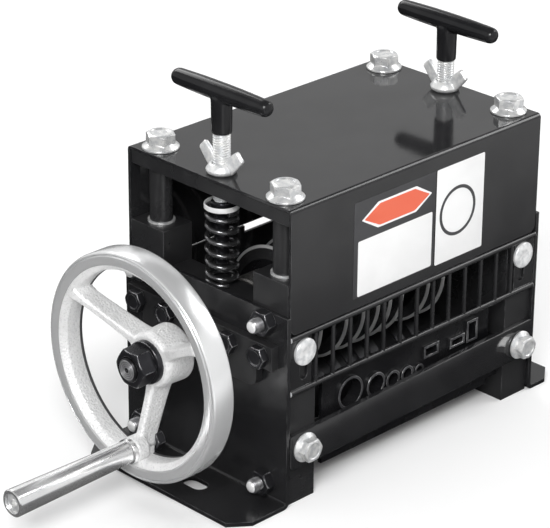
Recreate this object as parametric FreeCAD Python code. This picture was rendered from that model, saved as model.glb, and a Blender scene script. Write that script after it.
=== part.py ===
import FreeCAD, Part
import math
import os

# Hand-cranked bench machine that slits the insulation off electric wire.
# X runs along the shafts and away from the handwheel, -Y is the feed side and Z is up.
# The origin lies on the floor under the middle of the cover. All sizes are in millimetres.

# Posts and end plates
FRAME_LENGTH = 244.0
POST_SPAN = 150.0
POST_WIDTH = 26.0
POST_DEPTH = 32.0
POST_HEIGHT = 162.0
END_PLATE_THICKNESS = 3.0
END_PLATE_OVERHANG = 3.0
END_PLATE_BEND = 2.0
LEFT_FOOT_REACH = 48.0
RIGHT_FOOT_REACH = 33.0
FOOT_CHAMFER_X = 14.0
FOOT_CHAMFER_Y = 11.0
FOOT_SLOT_LENGTH = 20.0
FOOT_SLOT_WIDTH = 12.0
FOOT_SLOT_SPACING = 28.0
STUD_DIAMETER = 10.0
STUD_TOP_INSET = 7.0
STUD_ABOVE_KEEPER = 14.6
STUD_LOW = 15.0
STUD_REACH = 16.0
STUD_NUT_FLATS = 16.0
STUD_NUT_HEIGHT = 8.0
STUD_EMBED = 18.0

# Cover and top plate
COVER_HEIGHT = 215.0
COVER_SHEET = 2.0
COVER_CLEARANCE = 0.5
COVER_BEND = 3.0
COVER_CORNER = 6.0
FRONT_FLANGE_DROP = 88.5
REAR_FLANGE_DROP = 90.5
TOP_PLATE_THICKNESS = 10.0
TOP_PLATE_SETBACK = 1.0
TOP_PLATE_CHAMFER = 1.0
SPACER_DIAMETER = 16.0
SPACER_WASHER_DIAMETER = 19.0
SPACER_WASHER_THICKNESS = 1.5
TOP_BOLT_DIAMETER = 12.0
TOP_BOLT_FLANGE = 25.5
TOP_BOLT_FLATS = 18.0
TOP_BOLT_HEAD = 11.0
TOP_BOLT_STUD_GAP = 4.0

# Pressure screws, springs and wing nuts
SCREW_DIAMETER = 12.0
SCREW_PILOT = 10.0
SCREW_PILOT_ABOVE_BLOCK = 15.0
SCREW_TIP_CHAMFER = 1.0
SCREW_RAISED = 8.0
RIGHT_SCREW_LOWERED = 5.5
PRESSURE_WASHER_DIAMETER = 24.0
PRESSURE_WASHER_THICKNESS = 5.0
SPRING_OUTER = 24.0
SPRING_WIRE = 3.5
SPRING_TURNS = 8
SPRING_END_PITCH = 4.1
SPRING_SEAT_GAP = 0.1
HANDLE_BAR_HEIGHT = 76.0
HANDLE_BAR_LENGTH = 91.0
HANDLE_BAR_DIAMETER = 13.0
HANDLE_BAR_END = 11.0
HANDLE_STEM_TOP = 12.4
HANDLE_STEM_BOTTOM = 13.2
HANDLE_STEM_LENGTH = 28.0
HANDLE_STEM_CHAMFER = 1.0
HANDLE_FILLET = 4.0
HANDLE_SOCKET_DEPTH = 18.0
SCREW_TANG = 8.0
WING_NUT_BASE = 22.0
WING_NUT_NECK = 16.0
WING_NUT_HUB_HEIGHT = 7.0
WING_NUT_BASE_CHAMFER = 1.0
WING_SPAN = 43.0
WING_HEIGHT = 19.5
WING_THICKNESS = 4.2
WING_TIP_WIDTH = 9.6
WING_EDGE_ROUND = 1.2

# Sliding head and shaft
SHAFT_HEIGHT = 100.0
SHAFT_DIAMETER = 20.0
HEAD_LIFT = 6.0
BLOCK_HEIGHT = 56.0
BLOCK_BELOW_SHAFT = 21.0
BLOCK_THICKNESS = 24.0
BLOCK_END_CLEARANCE = 0.5
BLOCK_SIDE_CLEARANCE = 0.3
BLOCK_CHAMFER = 1.5
BUSH_WALL = 3.0
SHAFT_SLOT_CLEARANCE = 1.0
KEEPER_END = 10.5
KEEPER_HEIGHT = 17.0
KEEPER_THICKNESS = 6.0
KEEPER_ABOVE_SHAFT = 18.4
KEEPER_HUB_LENGTH = 110.0
KEEPER_HUB_BELOW_SHAFT = 15.0
KEEPER_ROUND = 6.0
KEEPER_BOLT_DIAMETER = 8.0
KEEPER_BOLT_FLATS = 14.0
KEEPER_BOLT_HEAD = 6.0
KEEPER_BOLT_NEAR = 30.0
KEEPER_BOLT_POST_INSET = 16.0
KEEPER_BOLT_EMBED = 9.0

# Blades and spacers on the shaft
BLADE_DIAMETER = 89.0
BLADE_THICKNESS = 6.0
BLADE_BEVEL = 9.0
BLADE_EDGE = 0.6
SPACER_TUBE_DIAMETER = 58.0
SPACER_TUBE_CHAMFER = 1.2
COLLAR_DIAMETER = 38.0
COLLAR_LENGTH = 12.0
COLLAR_GAP = 0.3
GRUB_DIAMETER = 6.0
GRUB_LENGTH = 8.0

# Lower roller
ROLLER_HEIGHT = 29.0
ROLLER_DIAMETER = 48.0
ROLLER_GROOVE_DEPTH = 4.0
ROLLER_GROOVE_WIDTH = 9.0
ROLLER_SHAFT_DIAMETER = 16.0
ROLLER_END_CLEARANCE = 1.5
ROLLER_CHAMFER = 2.0

# Feed panel
PANEL_WIDTH = 168.0
PANEL_BOTTOM = 16.0
PANEL_TOP = 80.0
PANEL_THICKNESS = 3.0
PANEL_SETBACK = 5.0
PANEL_EAR_BOTTOM = 20.0
PANEL_EAR_TOP = 50.0
PANEL_EAR_DEPTH = 20.0
PANEL_SCREW_DIAMETER = 5.0
PANEL_SCREW_HEAD = 9.0
PANEL_SCREW_HEAD_HEIGHT = 2.6
PANEL_SCREW_EMBED = 7.0
PANEL_SCREW_SPACING = 16.0
RIM_WALL = 1.7
RIM_PROUD = 2.0
RIM_LENGTH = 10.0
FEED_FLOOR = 49.0
# Middle along X and outer diameter of each round feed hole
ROUND_FEEDS = [(-58.0, 24.0), (-33.0, 18.0), (-16.0, 13.6), (-1.5, 12.0), (10.7, 9.3)]
# Middle along X, outer width, lower and upper outer edge of each flat-cable feed
FLAT_FEEDS = [(22.5, 15.0, 60.4, 69.5), (49.5, 15.0, 58.7, 66.5), (65.0, 11.2, 57.5, 74.0)]

# Guards and lower plates
GUARD_ROD = 4.0
GUARD_ROD_ABOVE_BOLT = 0.2
GUARD_BOTTOM_ROD_HEIGHT = 84.5
GUARD_WIRE = 3.0
GUARD_WIRE_COUNT = 13
GUARD_WIRE_INSET = 24.2
GUARD_END_GAP = 0.3
GUARD_PLATE_THICKNESS = 2.0
GUARD_PLATE_WIDTH = 20.0
GUARD_SLOT_LENGTH = 24.0
GUARD_BOLT_HEIGHT = 112.0
GUARD_BOLT_DIAMETER = 6.0
GUARD_BOLT_HEAD = 19.0
GUARD_BOLT_HEAD_HEIGHT = 3.5
GUARD_BOLT_EMBED = 12.0
REAR_GUARD_BOTTOM = 78.0
REAR_GUARD_TOP = 123.5
REAR_NOTCH_LENGTH = 30.0
REAR_NOTCH_DEPTH = 5.0
LOWER_PLATE_BOTTOM = 27.5
LOWER_PLATE_HEIGHT = 29.0
LOWER_PLATE_THICKNESS = 4.0
LOWER_PLATE_CORNER = 3.0
LOWER_BOLT_HEIGHT = 41.9
LOWER_BOLT_DIAMETER = 10.0
LOWER_BOLT_FLANGE = 21.0
LOWER_BOLT_FLATS = 15.0
LOWER_BOLT_HEAD = 9.0
LOWER_BOLT_EMBED = 16.0

# Handwheel and handle
WHEEL_DIAMETER = 160.0
WHEEL_RIM_WIDTH = 19.0
WHEEL_RIM_FACE = 193.0
WHEEL_RIM_FLAT = 9.0
WHEEL_RIM_DEPTH = 13.5
WHEEL_RIM_ROUND = 1.5
HUB_DIAMETER = 40.0
HUB_FRONT_DIAMETER = 36.0
HUB_LENGTH = 24.0
HUB_FRONT = 176.0
SPOKE_COUNT = 3
SPOKE_WIDTH = 17.0
SPOKE_ROOT_WIDTH = 27.0
SPOKE_THICKNESS = 9.0
SPOKE_ROUND = 2.0
SHAFT_SEAT = 18.0
SHAFT_THREAD = 16.0
SHAFT_THREAD_REACH = 2.0
SHAFT_CENTRE_HOLE = 4.0
WHEEL_KEY = 5.0
WHEEL_KEY_LENGTH = 18.0
WHEEL_NUT_FLATS = 24.0
WHEEL_NUT_HEIGHT = 13.0
WHEEL_WASHER_DIAMETER = 30.0
WHEEL_WASHER_THICKNESS = 4.0
CRANK_RADIUS = 60.0
CRANK_BOSS_DIAMETER = 18.0
CRANK_BOLT_DIAMETER = 8.0
CRANK_BOLT_HEAD = 13.0
CRANK_NUT_FLATS = 13.0
CRANK_NUT_HEIGHT = 6.5
GRIP_LENGTH = 98.0
GRIP_BASE_DIAMETER = 15.6
GRIP_END_DIAMETER = 19.0
GRIP_ROUND = 0.8
GRIP_END_RECESS = 2.0
GRIP_END_LIP = 1.6
GRIP_COLLAR_DIAMETER = 17.5
GRIP_COLLAR_THICKNESS = 3.0
GRIP_PLAY = 0.3

# Fits
RUNNING_FIT = 0.05
BOLT_CLEARANCE = 0.5
SCREW_HOLE_CLEARANCE = 1.0

# Places worked out from the sizes above
END_X = FRAME_LENGTH / 2
FACE_Y = POST_SPAN / 2
POST_X = END_X - POST_WIDTH / 2
POST_Y = FACE_Y - POST_DEPTH / 2
POST_INNER_X = END_X - POST_WIDTH
POST_INNER_Y = FACE_Y - POST_DEPTH
PLATE_OUTER_X = END_X + END_PLATE_THICKNESS
KEEPER_TOP = SHAFT_HEIGHT + KEEPER_ABOVE_SHAFT
KEEPER_HUB_BOTTOM = SHAFT_HEIGHT - KEEPER_HUB_BELOW_SHAFT
STUD_HIGH = KEEPER_TOP + STUD_ABOVE_KEEPER
END_PLATE_HEIGHT = STUD_HIGH + STUD_TOP_INSET
TOP_BOLT_GRIP = POST_HEIGHT - (STUD_HIGH + STUD_DIAMETER / 2 + TOP_BOLT_STUD_GAP)
PLATE_HALF_Y = FACE_Y + END_PLATE_OVERHANG
COVER_HALF_Y = FACE_Y + COVER_CLEARANCE + COVER_SHEET
TOP_PLATE_TOP = COVER_HEIGHT - COVER_SHEET
TOP_PLATE_BOTTOM = TOP_PLATE_TOP - TOP_PLATE_THICKNESS
BLOCK_BOTTOM = SHAFT_HEIGHT - BLOCK_BELOW_SHAFT
BLOCK_TOP = BLOCK_BOTTOM + BLOCK_HEIGHT
SCREW_PILOT_BOTTOM = BLOCK_TOP + SCREW_PILOT_ABOVE_BLOCK
BLOCK_OUTER_X = END_X - BLOCK_END_CLEARANCE
BLOCK_INNER_X = BLOCK_OUTER_X - BLOCK_THICKNESS
KEEPER_OUTER_X = PLATE_OUTER_X + KEEPER_THICKNESS
KEEPER_BOLT_FAR = POST_INNER_Y + KEEPER_BOLT_POST_INSET
KEEPER_LENGTH = 2 * (KEEPER_BOLT_FAR + KEEPER_END)
GUARD_TOP_ROD_HEIGHT = GUARD_BOLT_HEIGHT + GUARD_BOLT_HEAD / 2 + GUARD_ROD_ABOVE_BOLT + GUARD_ROD / 2
GUARD_WIRE_PITCH = 2 * (END_X - GUARD_WIRE_INSET) / (GUARD_WIRE_COUNT - 1)
HUB_BACK = HUB_FRONT - HUB_LENGTH
CRANK_Z = SHAFT_HEIGHT - CRANK_RADIUS
PANEL_FACE_Y = -FACE_Y + PANEL_SETBACK
STACK_HALF = BLOCK_INNER_X - COLLAR_GAP
BUSH_OUTER = SHAFT_DIAMETER + 2 * (RUNNING_FIT + BUSH_WALL)
ROLLER_BUSH_OUTER = ROLLER_SHAFT_DIAMETER + 2 * (RUNNING_FIT + BUSH_WALL)
BLADE_PLACES = sorted([x for x, _ in ROUND_FEEDS] + [feed[0] for feed in FLAT_FEEDS])

X_AXIS = FreeCAD.Vector(1, 0, 0)
Y_AXIS = FreeCAD.Vector(0, 1, 0)
Z_AXIS = FreeCAD.Vector(0, 0, 1)


def point(x, y, z):
    """Return the point at x, y, z."""
    return FreeCAD.Vector(x, y, z)


def box(x, y, z):
    """Return the box between the low and high value given for each axis."""
    return Part.makeBox(x[1] - x[0], y[1] - y[0], z[1] - z[0], point(x[0], y[0], z[0]))


def rod(diameter, start, axis, length):
    """Return a cylinder that begins at start and runs along axis."""
    return Part.makeCylinder(diameter / 2, length, start, axis)


def tube(outer, inner, start, axis, length):
    """Return a straight tube, or a washer where it is short."""
    return rod(outer, start, axis, length).cut(rod(inner, start, axis, length))


def group(shapes):
    """Return one compound that holds separate solids."""
    return Part.makeCompound(shapes)


def prism(points, run):
    """Return the solid that the closed outline through points makes along run."""
    return Part.Face(Part.makePolygon(points + [points[0]])).extrude(run)


def turned(profile, start, axis):
    """Return the solid turned from a profile of (distance along axis, radius) pairs."""
    side = Y_AXIS if abs(axis.x) > 0.5 else X_AXIS
    outline = [start + axis * along + side * radius for along, radius in profile]
    face = Part.Face(Part.makePolygon(outline + [outline[0]]))
    return face.revolve(start, axis, 360)


def hexagon(flats, start, axis, height):
    """Return a hexagonal prism with its corners taken off at the far end."""
    corner = flats / math.sqrt(3)
    side = Y_AXIS if abs(axis.x) > 0.5 else X_AXIS
    other = axis.cross(side)
    outline = []
    for step in range(6):
        angle = math.radians(60 * step)
        outline.append(start + side * (corner * math.cos(angle)) + other * (corner * math.sin(angle)))
    drop = (corner - flats / 2) * 0.6
    crown = turned([(0, 0), (0, corner), (height - drop, corner), (height, flats / 2), (height, 0)],
                   start, axis)
    return prism(outline, axis * height).common(crown)


def hex_bolt(flats, head, diameter, seat, axis, shank):
    """Return a hexagon head that stands on seat, with its shank running back into the work."""
    return hexagon(flats, seat, axis, head).fuse(rod(diameter, seat - axis * shank, axis, shank))


def flange_bolt(flange, flats, head, diameter, seat, axis, shank):
    """Return a flanged hexagon bolt: a coned washer face, a head and a plain shank."""
    lip = head * 0.16
    cone = head * 0.36
    skirt = turned([(0, 0), (0, flange / 2), (lip, flange / 2), (cone, flats * 0.54), (cone, 0)], seat, axis)
    return skirt.fuse(hex_bolt(flats, head, diameter, seat, axis, shank))


def slot_along(length, width, middle, along, through, depth):
    """Return a cutter for a round-ended slot, long in the direction along."""
    half = (length - width) / 2
    across = through.cross(along)
    start = middle - through * (depth / 2)
    signs = ((-1, -1), (1, -1), (1, 1), (-1, 1))
    corners = [start + along * (half * a) + across * (width / 2 * b) for a, b in signs]
    body = prism(corners, through * depth)
    for end in (-1, 1):
        body = body.fuse(rod(width, start + along * (half * end), through, depth))
    return body


def mirrored(shape):
    """Return the same piece for the right end of the machine."""
    return shape.mirror(point(0, 0, 0), X_AXIS)


def pair(shape):
    """Return the left piece and its mirror image at the right end as one group."""
    return group([shape, mirrored(shape)])


def four_corners(x, y):
    """Return the four places at plus and minus x and y."""
    return [(sx * x, sy * y) for sx in (-1, 1) for sy in (-1, 1)]


def make_posts():
    """Make the four square posts, tapped for the top bolts and for what is bolted to their faces."""
    posts = {}
    names = {(-1, -1): "front_left_post", (1, -1): "front_right_post",
             (-1, 1): "rear_left_post", (1, 1): "rear_right_post"}
    for (sx, sy), name in names.items():
        centre = point(sx * POST_X, sy * POST_Y, 0)
        post = box((centre.x - POST_WIDTH / 2, centre.x + POST_WIDTH / 2),
                   (centre.y - POST_DEPTH / 2, centre.y + POST_DEPTH / 2), (0, POST_HEIGHT))
        depth = TOP_BOLT_GRIP + BOLT_CLEARANCE
        post = post.cut(rod(TOP_BOLT_DIAMETER + 2 * RUNNING_FIT, centre + Z_AXIS * (POST_HEIGHT - depth),
                            Z_AXIS, depth))
        for height in (STUD_LOW, STUD_HIGH):
            start = point(sx * (END_X - STUD_EMBED), centre.y, height)
            post = post.cut(rod(STUD_DIAMETER + 2 * RUNNING_FIT, start, X_AXIS * sx, STUD_EMBED))
        start = point(sx * (END_X - KEEPER_BOLT_EMBED), sy * KEEPER_BOLT_FAR, keeper_bolt_height())
        post = post.cut(rod(KEEPER_BOLT_DIAMETER + 2 * RUNNING_FIT, start, X_AXIS * sx, KEEPER_BOLT_EMBED))
        for height, diameter, embed in ((LOWER_BOLT_HEIGHT, LOWER_BOLT_DIAMETER, LOWER_BOLT_EMBED),
                                        (GUARD_BOLT_HEIGHT, GUARD_BOLT_DIAMETER, GUARD_BOLT_EMBED)):
            start = point(centre.x, sy * (FACE_Y - embed), height)
            post = post.cut(rod(diameter + 2 * RUNNING_FIT, start, Y_AXIS * sy, embed))
        if sy < 0:
            for place in panel_screw_places():
                start = point(sx * POST_INNER_X, place[0], place[1])
                post = post.cut(rod(PANEL_SCREW_DIAMETER + 2 * RUNNING_FIT, start, X_AXIS * sx,
                                    PANEL_SCREW_EMBED))
        posts[name] = post
    return posts


def make_end_plate(reach):
    """Make the left end plate: a folded sheet with an outward foot, made at the left end."""
    inner = -END_X
    outer = -PLATE_OUTER_X
    toe = inner - reach
    half = PLATE_HALF_Y
    wall = box((outer, inner), (-half, half), (0, END_PLATE_HEIGHT))
    foot_outline = [point(inner, -half, 0), point(toe + FOOT_CHAMFER_X, -half, 0),
                    point(toe, -half + FOOT_CHAMFER_Y, 0), point(toe, half - FOOT_CHAMFER_Y, 0),
                    point(toe + FOOT_CHAMFER_X, half, 0), point(inner, half, 0)]
    foot = prism(foot_outline, Z_AXIS * END_PLATE_THICKNESS)
    plate = wall.fuse(foot).removeSplitter()
    inside = [e for e in plate.Edges if along_y(e, outer, END_PLATE_THICKNESS)]
    plate = plate.makeFillet(END_PLATE_BEND, inside)
    outside = [e for e in plate.Edges if along_y(e, inner, 0)]
    plate = plate.makeFillet(END_PLATE_BEND + END_PLATE_THICKNESS, outside)
    middle_x = (outer + toe) / 2
    for side in (-1, 1):
        middle = point(middle_x, side * FOOT_SLOT_SPACING / 2, END_PLATE_THICKNESS / 2)
        plate = plate.cut(slot_along(FOOT_SLOT_LENGTH, FOOT_SLOT_WIDTH, middle, Y_AXIS, Z_AXIS,
                                     2 * END_PLATE_THICKNESS))
    plate = plate.cut(shaft_slot(inner))
    for side in (-1, 1):
        for height in (STUD_LOW, STUD_HIGH):
            start = point(outer, side * POST_Y, height)
            plate = plate.cut(rod(STUD_DIAMETER + BOLT_CLEARANCE, start, X_AXIS, END_PLATE_THICKNESS))
    for place in keeper_bolt_places():
        start = point(outer, place, keeper_bolt_height())
        plate = plate.cut(rod(KEEPER_BOLT_DIAMETER + BOLT_CLEARANCE, start, X_AXIS, END_PLATE_THICKNESS))
    return plate


def along_y(edge, x, z):
    """Tell whether an edge is the straight one along Y at the given x and z."""
    if len(edge.Vertexes) != 2:
        return False
    ends = [v.Point for v in edge.Vertexes]
    return all(abs(p.x - x) < 1e-6 and abs(p.z - z) < 1e-6 for p in ends) and edge.Length > 1.0


def shaft_slot(x):
    """Return the cutter for the upright slot in which the rising shaft runs, centred on x."""
    width = SHAFT_DIAMETER + 2 * SHAFT_SLOT_CLEARANCE
    middle = point(x, 0, SHAFT_HEIGHT + HEAD_LIFT / 2)
    return slot_along(HEAD_LIFT + width, width, middle, Z_AXIS, X_AXIS, 4 * KEEPER_THICKNESS)


def keeper_bolt_places():
    """Return the place along Y of each keeper bolt."""
    return [-KEEPER_BOLT_FAR, -KEEPER_BOLT_NEAR, KEEPER_BOLT_NEAR, KEEPER_BOLT_FAR]


def keeper_bolt_height():
    """Return the height of the keeper bolts, the middle of the keeper's bar."""
    return KEEPER_TOP - KEEPER_HEIGHT / 2


def make_keeper():
    """Make the bearing keeper outside the left end plate: a bar with a deeper middle."""
    x = (-KEEPER_OUTER_X, -PLATE_OUTER_X)
    bar = box(x, (-KEEPER_LENGTH / 2, KEEPER_LENGTH / 2), (KEEPER_TOP - KEEPER_HEIGHT, KEEPER_TOP))
    middle = box(x, (-KEEPER_HUB_LENGTH / 2, KEEPER_HUB_LENGTH / 2), (KEEPER_HUB_BOTTOM, KEEPER_TOP))
    keeper = bar.fuse(middle).removeSplitter()
    corners = []
    for edge in keeper.Edges:
        if len(edge.Vertexes) == 2 and abs(edge.tangentAt(edge.FirstParameter).x) > 0.99:
            if abs(edge.Vertexes[0].Z - KEEPER_HUB_BOTTOM) < 1e-6:
                corners.append(edge)
    keeper = keeper.makeFillet(KEEPER_ROUND, corners)
    keeper = keeper.cut(shaft_slot(-PLATE_OUTER_X))
    for place in keeper_bolt_places():
        start = point(-KEEPER_OUTER_X, place, keeper_bolt_height())
        keeper = keeper.cut(rod(KEEPER_BOLT_DIAMETER + BOLT_CLEARANCE, start, X_AXIS, KEEPER_THICKNESS))
    return keeper


def make_keeper_bolts():
    """Make the hexagon bolts that hold both keepers; the far pair reaches into the posts."""
    bolts = []
    for place in keeper_bolt_places():
        seat = point(-KEEPER_OUTER_X, place, keeper_bolt_height())
        in_post = abs(place) > POST_INNER_Y
        shank = KEEPER_THICKNESS + END_PLATE_THICKNESS + (KEEPER_BOLT_EMBED if in_post else 0)
        bolts.append(hex_bolt(KEEPER_BOLT_FLATS, KEEPER_BOLT_HEAD, KEEPER_BOLT_DIAMETER, seat,
                              X_AXIS * -1, shank))
    return group(bolts + [mirrored(bolt) for bolt in bolts])


def make_end_studs():
    """Make the studs that hold the end plates to the posts, and their nuts."""
    studs = []
    nuts = []
    for side in (-1, 1):
        for height in (STUD_LOW, STUD_HIGH):
            tip = -PLATE_OUTER_X - STUD_REACH
            radius = STUD_DIAMETER / 2
            length = PLATE_OUTER_X + STUD_REACH - END_X + STUD_EMBED
            profile = [(0, 0), (0, radius * 0.45), (radius * 0.3, radius * 0.85), (radius * 0.6, radius),
                       (length, radius), (length, 0)]
            studs.append(turned(profile, point(tip, side * POST_Y, height), X_AXIS))
            seat = point(-PLATE_OUTER_X, side * POST_Y, height)
            nut = hexagon(STUD_NUT_FLATS, seat, X_AXIS * -1, STUD_NUT_HEIGHT)
            hole = rod(STUD_DIAMETER + 2 * RUNNING_FIT, seat, X_AXIS * -1, STUD_NUT_HEIGHT)
            nuts.append(nut.cut(hole))
    return group(studs + [mirrored(s) for s in studs]), group(nuts + [mirrored(n) for n in nuts])


def make_cover():
    """Make the folded cover: a top sheet with a front and a rear flange, open at both ends."""
    half = COVER_HALF_Y
    top = COVER_HEIGHT
    front = top - FRONT_FLANGE_DROP
    rear = top - REAR_FLANGE_DROP
    sheet = COVER_SHEET
    outline = [(-half, front), (-half, top), (half, top), (half, rear), (half - sheet, rear),
               (half - sheet, top - sheet), (-half + sheet, top - sheet), (-half + sheet, front)]
    cover = prism([point(-END_X, y, z) for y, z in outline], X_AXIS * FRAME_LENGTH)
    outer = [e for e in cover.Edges if along_x(e, half, top)]
    cover = cover.makeFillet(COVER_BEND, outer)
    inner = [e for e in cover.Edges if along_x(e, half - sheet, top - sheet)]
    cover = cover.makeFillet(COVER_BEND - sheet, inner)
    corners = [e for e in cover.Edges if flange_corner(e)]
    cover = cover.makeFillet(COVER_CORNER, corners)
    for x, y in four_corners(POST_X, POST_Y):
        start = point(x, y, top - 2 * sheet)
        cover = cover.cut(rod(TOP_BOLT_DIAMETER + 2 * BOLT_CLEARANCE, start, Z_AXIS, 3 * sheet))
    for x in (-POST_X, POST_X):
        start = point(x, 0, top - 2 * sheet)
        cover = cover.cut(rod(SCREW_DIAMETER + 2 * SCREW_HOLE_CLEARANCE, start, Z_AXIS, 3 * sheet))
    return cover


def along_x(edge, y, z):
    """Tell whether an edge runs along X at plus or minus y and at z."""
    if len(edge.Vertexes) != 2 or abs(edge.Vertexes[0].X - edge.Vertexes[1].X) < 1.0:
        return False
    return all(abs(abs(v.Y) - y) < 1e-6 and abs(v.Z - z) < 1e-6 for v in edge.Vertexes)


def flange_corner(edge):
    """Tell whether an edge is one of the four lower corners of the cover's flanges."""
    if len(edge.Vertexes) != 2 or abs(edge.Length - COVER_SHEET) > 1e-6:
        return False
    ends = edge.Vertexes
    lowest = COVER_HEIGHT - min(FRONT_FLANGE_DROP, REAR_FLANGE_DROP) + 1e-6
    return abs(ends[0].Y - ends[1].Y) > 1e-3 and ends[0].Z < lowest and abs(abs(ends[0].X) - END_X) < 1e-6


def make_top_plate():
    """Make the thick plate under the cover, in which the pressure screws are threaded."""
    half_x = END_X - TOP_PLATE_SETBACK
    plate = box((-half_x, half_x), (-FACE_Y, FACE_Y), (TOP_PLATE_BOTTOM, TOP_PLATE_TOP))
    edges = [edge for edge in plate.Edges if along_x(edge, FACE_Y, TOP_PLATE_TOP)]
    plate = plate.makeChamfer(TOP_PLATE_CHAMFER, edges)
    for x, y in four_corners(POST_X, POST_Y):
        start = point(x, y, TOP_PLATE_BOTTOM)
        plate = plate.cut(rod(TOP_BOLT_DIAMETER + 2 * BOLT_CLEARANCE, start, Z_AXIS, TOP_PLATE_THICKNESS))
    for x in (-POST_X, POST_X):
        start = point(x, 0, TOP_PLATE_BOTTOM)
        plate = plate.cut(rod(SCREW_DIAMETER + 2 * RUNNING_FIT, start, Z_AXIS, TOP_PLATE_THICKNESS))
    return plate


def make_post_spacers():
    """Make the round spacers between the posts and the top plate, and the washers under them."""
    spacers = []
    washers = []
    bore = TOP_BOLT_DIAMETER + 2 * BOLT_CLEARANCE
    seat = POST_HEIGHT + SPACER_WASHER_THICKNESS
    for x, y in four_corners(POST_X, POST_Y):
        washers.append(tube(SPACER_WASHER_DIAMETER, bore, point(x, y, POST_HEIGHT), Z_AXIS,
                            SPACER_WASHER_THICKNESS))
        spacers.append(tube(SPACER_DIAMETER, bore, point(x, y, seat), Z_AXIS, TOP_PLATE_BOTTOM - seat))
    return group(spacers), group(washers)


def make_top_bolts():
    """Make the four flanged bolts that clamp the cover, top plate and spacers to the posts."""
    shank = COVER_HEIGHT - POST_HEIGHT + TOP_BOLT_GRIP
    bolts = []
    for x, y in four_corners(POST_X, POST_Y):
        bolts.append(flange_bolt(TOP_BOLT_FLANGE, TOP_BOLT_FLATS, TOP_BOLT_HEAD, TOP_BOLT_DIAMETER,
                                 point(x, y, COVER_HEIGHT), Z_AXIS, shank))
    return group(bolts)


def washer_top(lowered):
    """Return the height of the shoulder of a pressure screw that is screwed down by lowered."""
    return TOP_PLATE_BOTTOM - SCREW_RAISED - lowered


def make_pressure_set(side, lowered):
    """Make the washer, screw, T handle and wing nut of one end; side is -1 for left."""
    x = side * POST_X
    shoulder = washer_top(lowered)
    washer = tube(PRESSURE_WASHER_DIAMETER, SCREW_PILOT + 2 * RUNNING_FIT,
                  point(x, 0, shoulder - PRESSURE_WASHER_THICKNESS), Z_AXIS, PRESSURE_WASHER_THICKNESS)
    bar_z = shoulder + HANDLE_BAR_HEIGHT
    stem_bottom = bar_z - HANDLE_STEM_LENGTH
    screw_top = stem_bottom + HANDLE_SOCKET_DEPTH
    pilot_bottom = SCREW_PILOT_BOTTOM - lowered
    pilot = SCREW_PILOT / 2
    thread = SCREW_DIAMETER / 2
    step, stem, top = (height - pilot_bottom for height in (shoulder, stem_bottom, screw_top))
    profile = [(0, 0), (0, pilot - SCREW_TIP_CHAMFER), (SCREW_TIP_CHAMFER, pilot), (step, pilot),
               (step, thread), (stem, thread), (stem, SCREW_TANG / 2), (top, SCREW_TANG / 2), (top, 0)]
    screw = turned(profile, point(x, 0, pilot_bottom), Z_AXIS)
    socket = rod(SCREW_TANG + 2 * RUNNING_FIT, point(x, 0, stem_bottom), Z_AXIS, HANDLE_SOCKET_DEPTH)
    handle = make_t_handle(x, bar_z).cut(socket)
    return washer, screw, handle, make_wing_nut(x)


def make_t_handle(x, bar_z):
    """Make a moulded T handle: a bar that swells to its middle, blended into a tapered stem."""
    centre = point(x, 0, bar_z)
    half = HANDLE_BAR_LENGTH / 2
    end = HANDLE_BAR_END / 2

    def at(y, radius):
        return centre + Y_AXIS * y + X_AXIS * radius

    def dome(side):
        knee = math.radians(45)
        crown = at(side * (half - end + end * math.cos(knee)), end * math.sin(knee))
        return Part.Arc(at(side * half, 0), crown, at(side * (half - end), end)).toShape()

    swell = Part.Arc(at(end - half, end), at(0, HANDLE_BAR_DIAMETER / 2), at(half - end, end)).toShape()
    axis = Part.LineSegment(at(-half, 0), at(half, 0)).toShape()
    bar = Part.Face(Part.Wire(Part.__sortEdges__([dome(-1), swell, dome(1), axis]))).revolve(centre, Y_AXIS, 360)
    foot = HANDLE_STEM_BOTTOM / 2
    stem = turned([(0, 0), (0, foot - HANDLE_STEM_CHAMFER), (HANDLE_STEM_CHAMFER, foot),
                   (HANDLE_STEM_LENGTH, HANDLE_STEM_TOP / 2), (HANDLE_STEM_LENGTH, 0)],
                  centre - Z_AXIS * HANDLE_STEM_LENGTH, Z_AXIS)
    handle = bar.fuse(stem)
    low = bar_z - HANDLE_BAR_DIAMETER
    joint = [edge for edge in handle.Edges
             if low < edge.CenterOfMass.z < bar_z and edge.BoundBox.YLength > foot
             and edge.BoundBox.YLength < HANDLE_STEM_BOTTOM and edge.BoundBox.ZLength > 0.1]
    return handle.makeFillet(HANDLE_FILLET, joint)


def make_wing_nut(x):
    """Make the wing nut that locks a pressure screw on the cover."""
    seat = point(x, 0, COVER_HEIGHT)
    base = WING_NUT_BASE / 2
    neck = WING_NUT_NECK / 2
    high = WING_NUT_HUB_HEIGHT
    rim = WING_NUT_BASE_CHAMFER
    nut = turned([(0, 0), (0, base - rim), (rim, base), (2 * rim, base), (high, neck), (high, 0)], seat, Z_AXIS)
    tip = WING_SPAN / 2
    for side in (-1, 1):
        nut = nut.fuse(make_wing(seat, side, base, neck, tip))
    return nut.cut(rod(SCREW_DIAMETER + 2 * RUNNING_FIT, seat, Z_AXIS, WING_HEIGHT))


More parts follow.
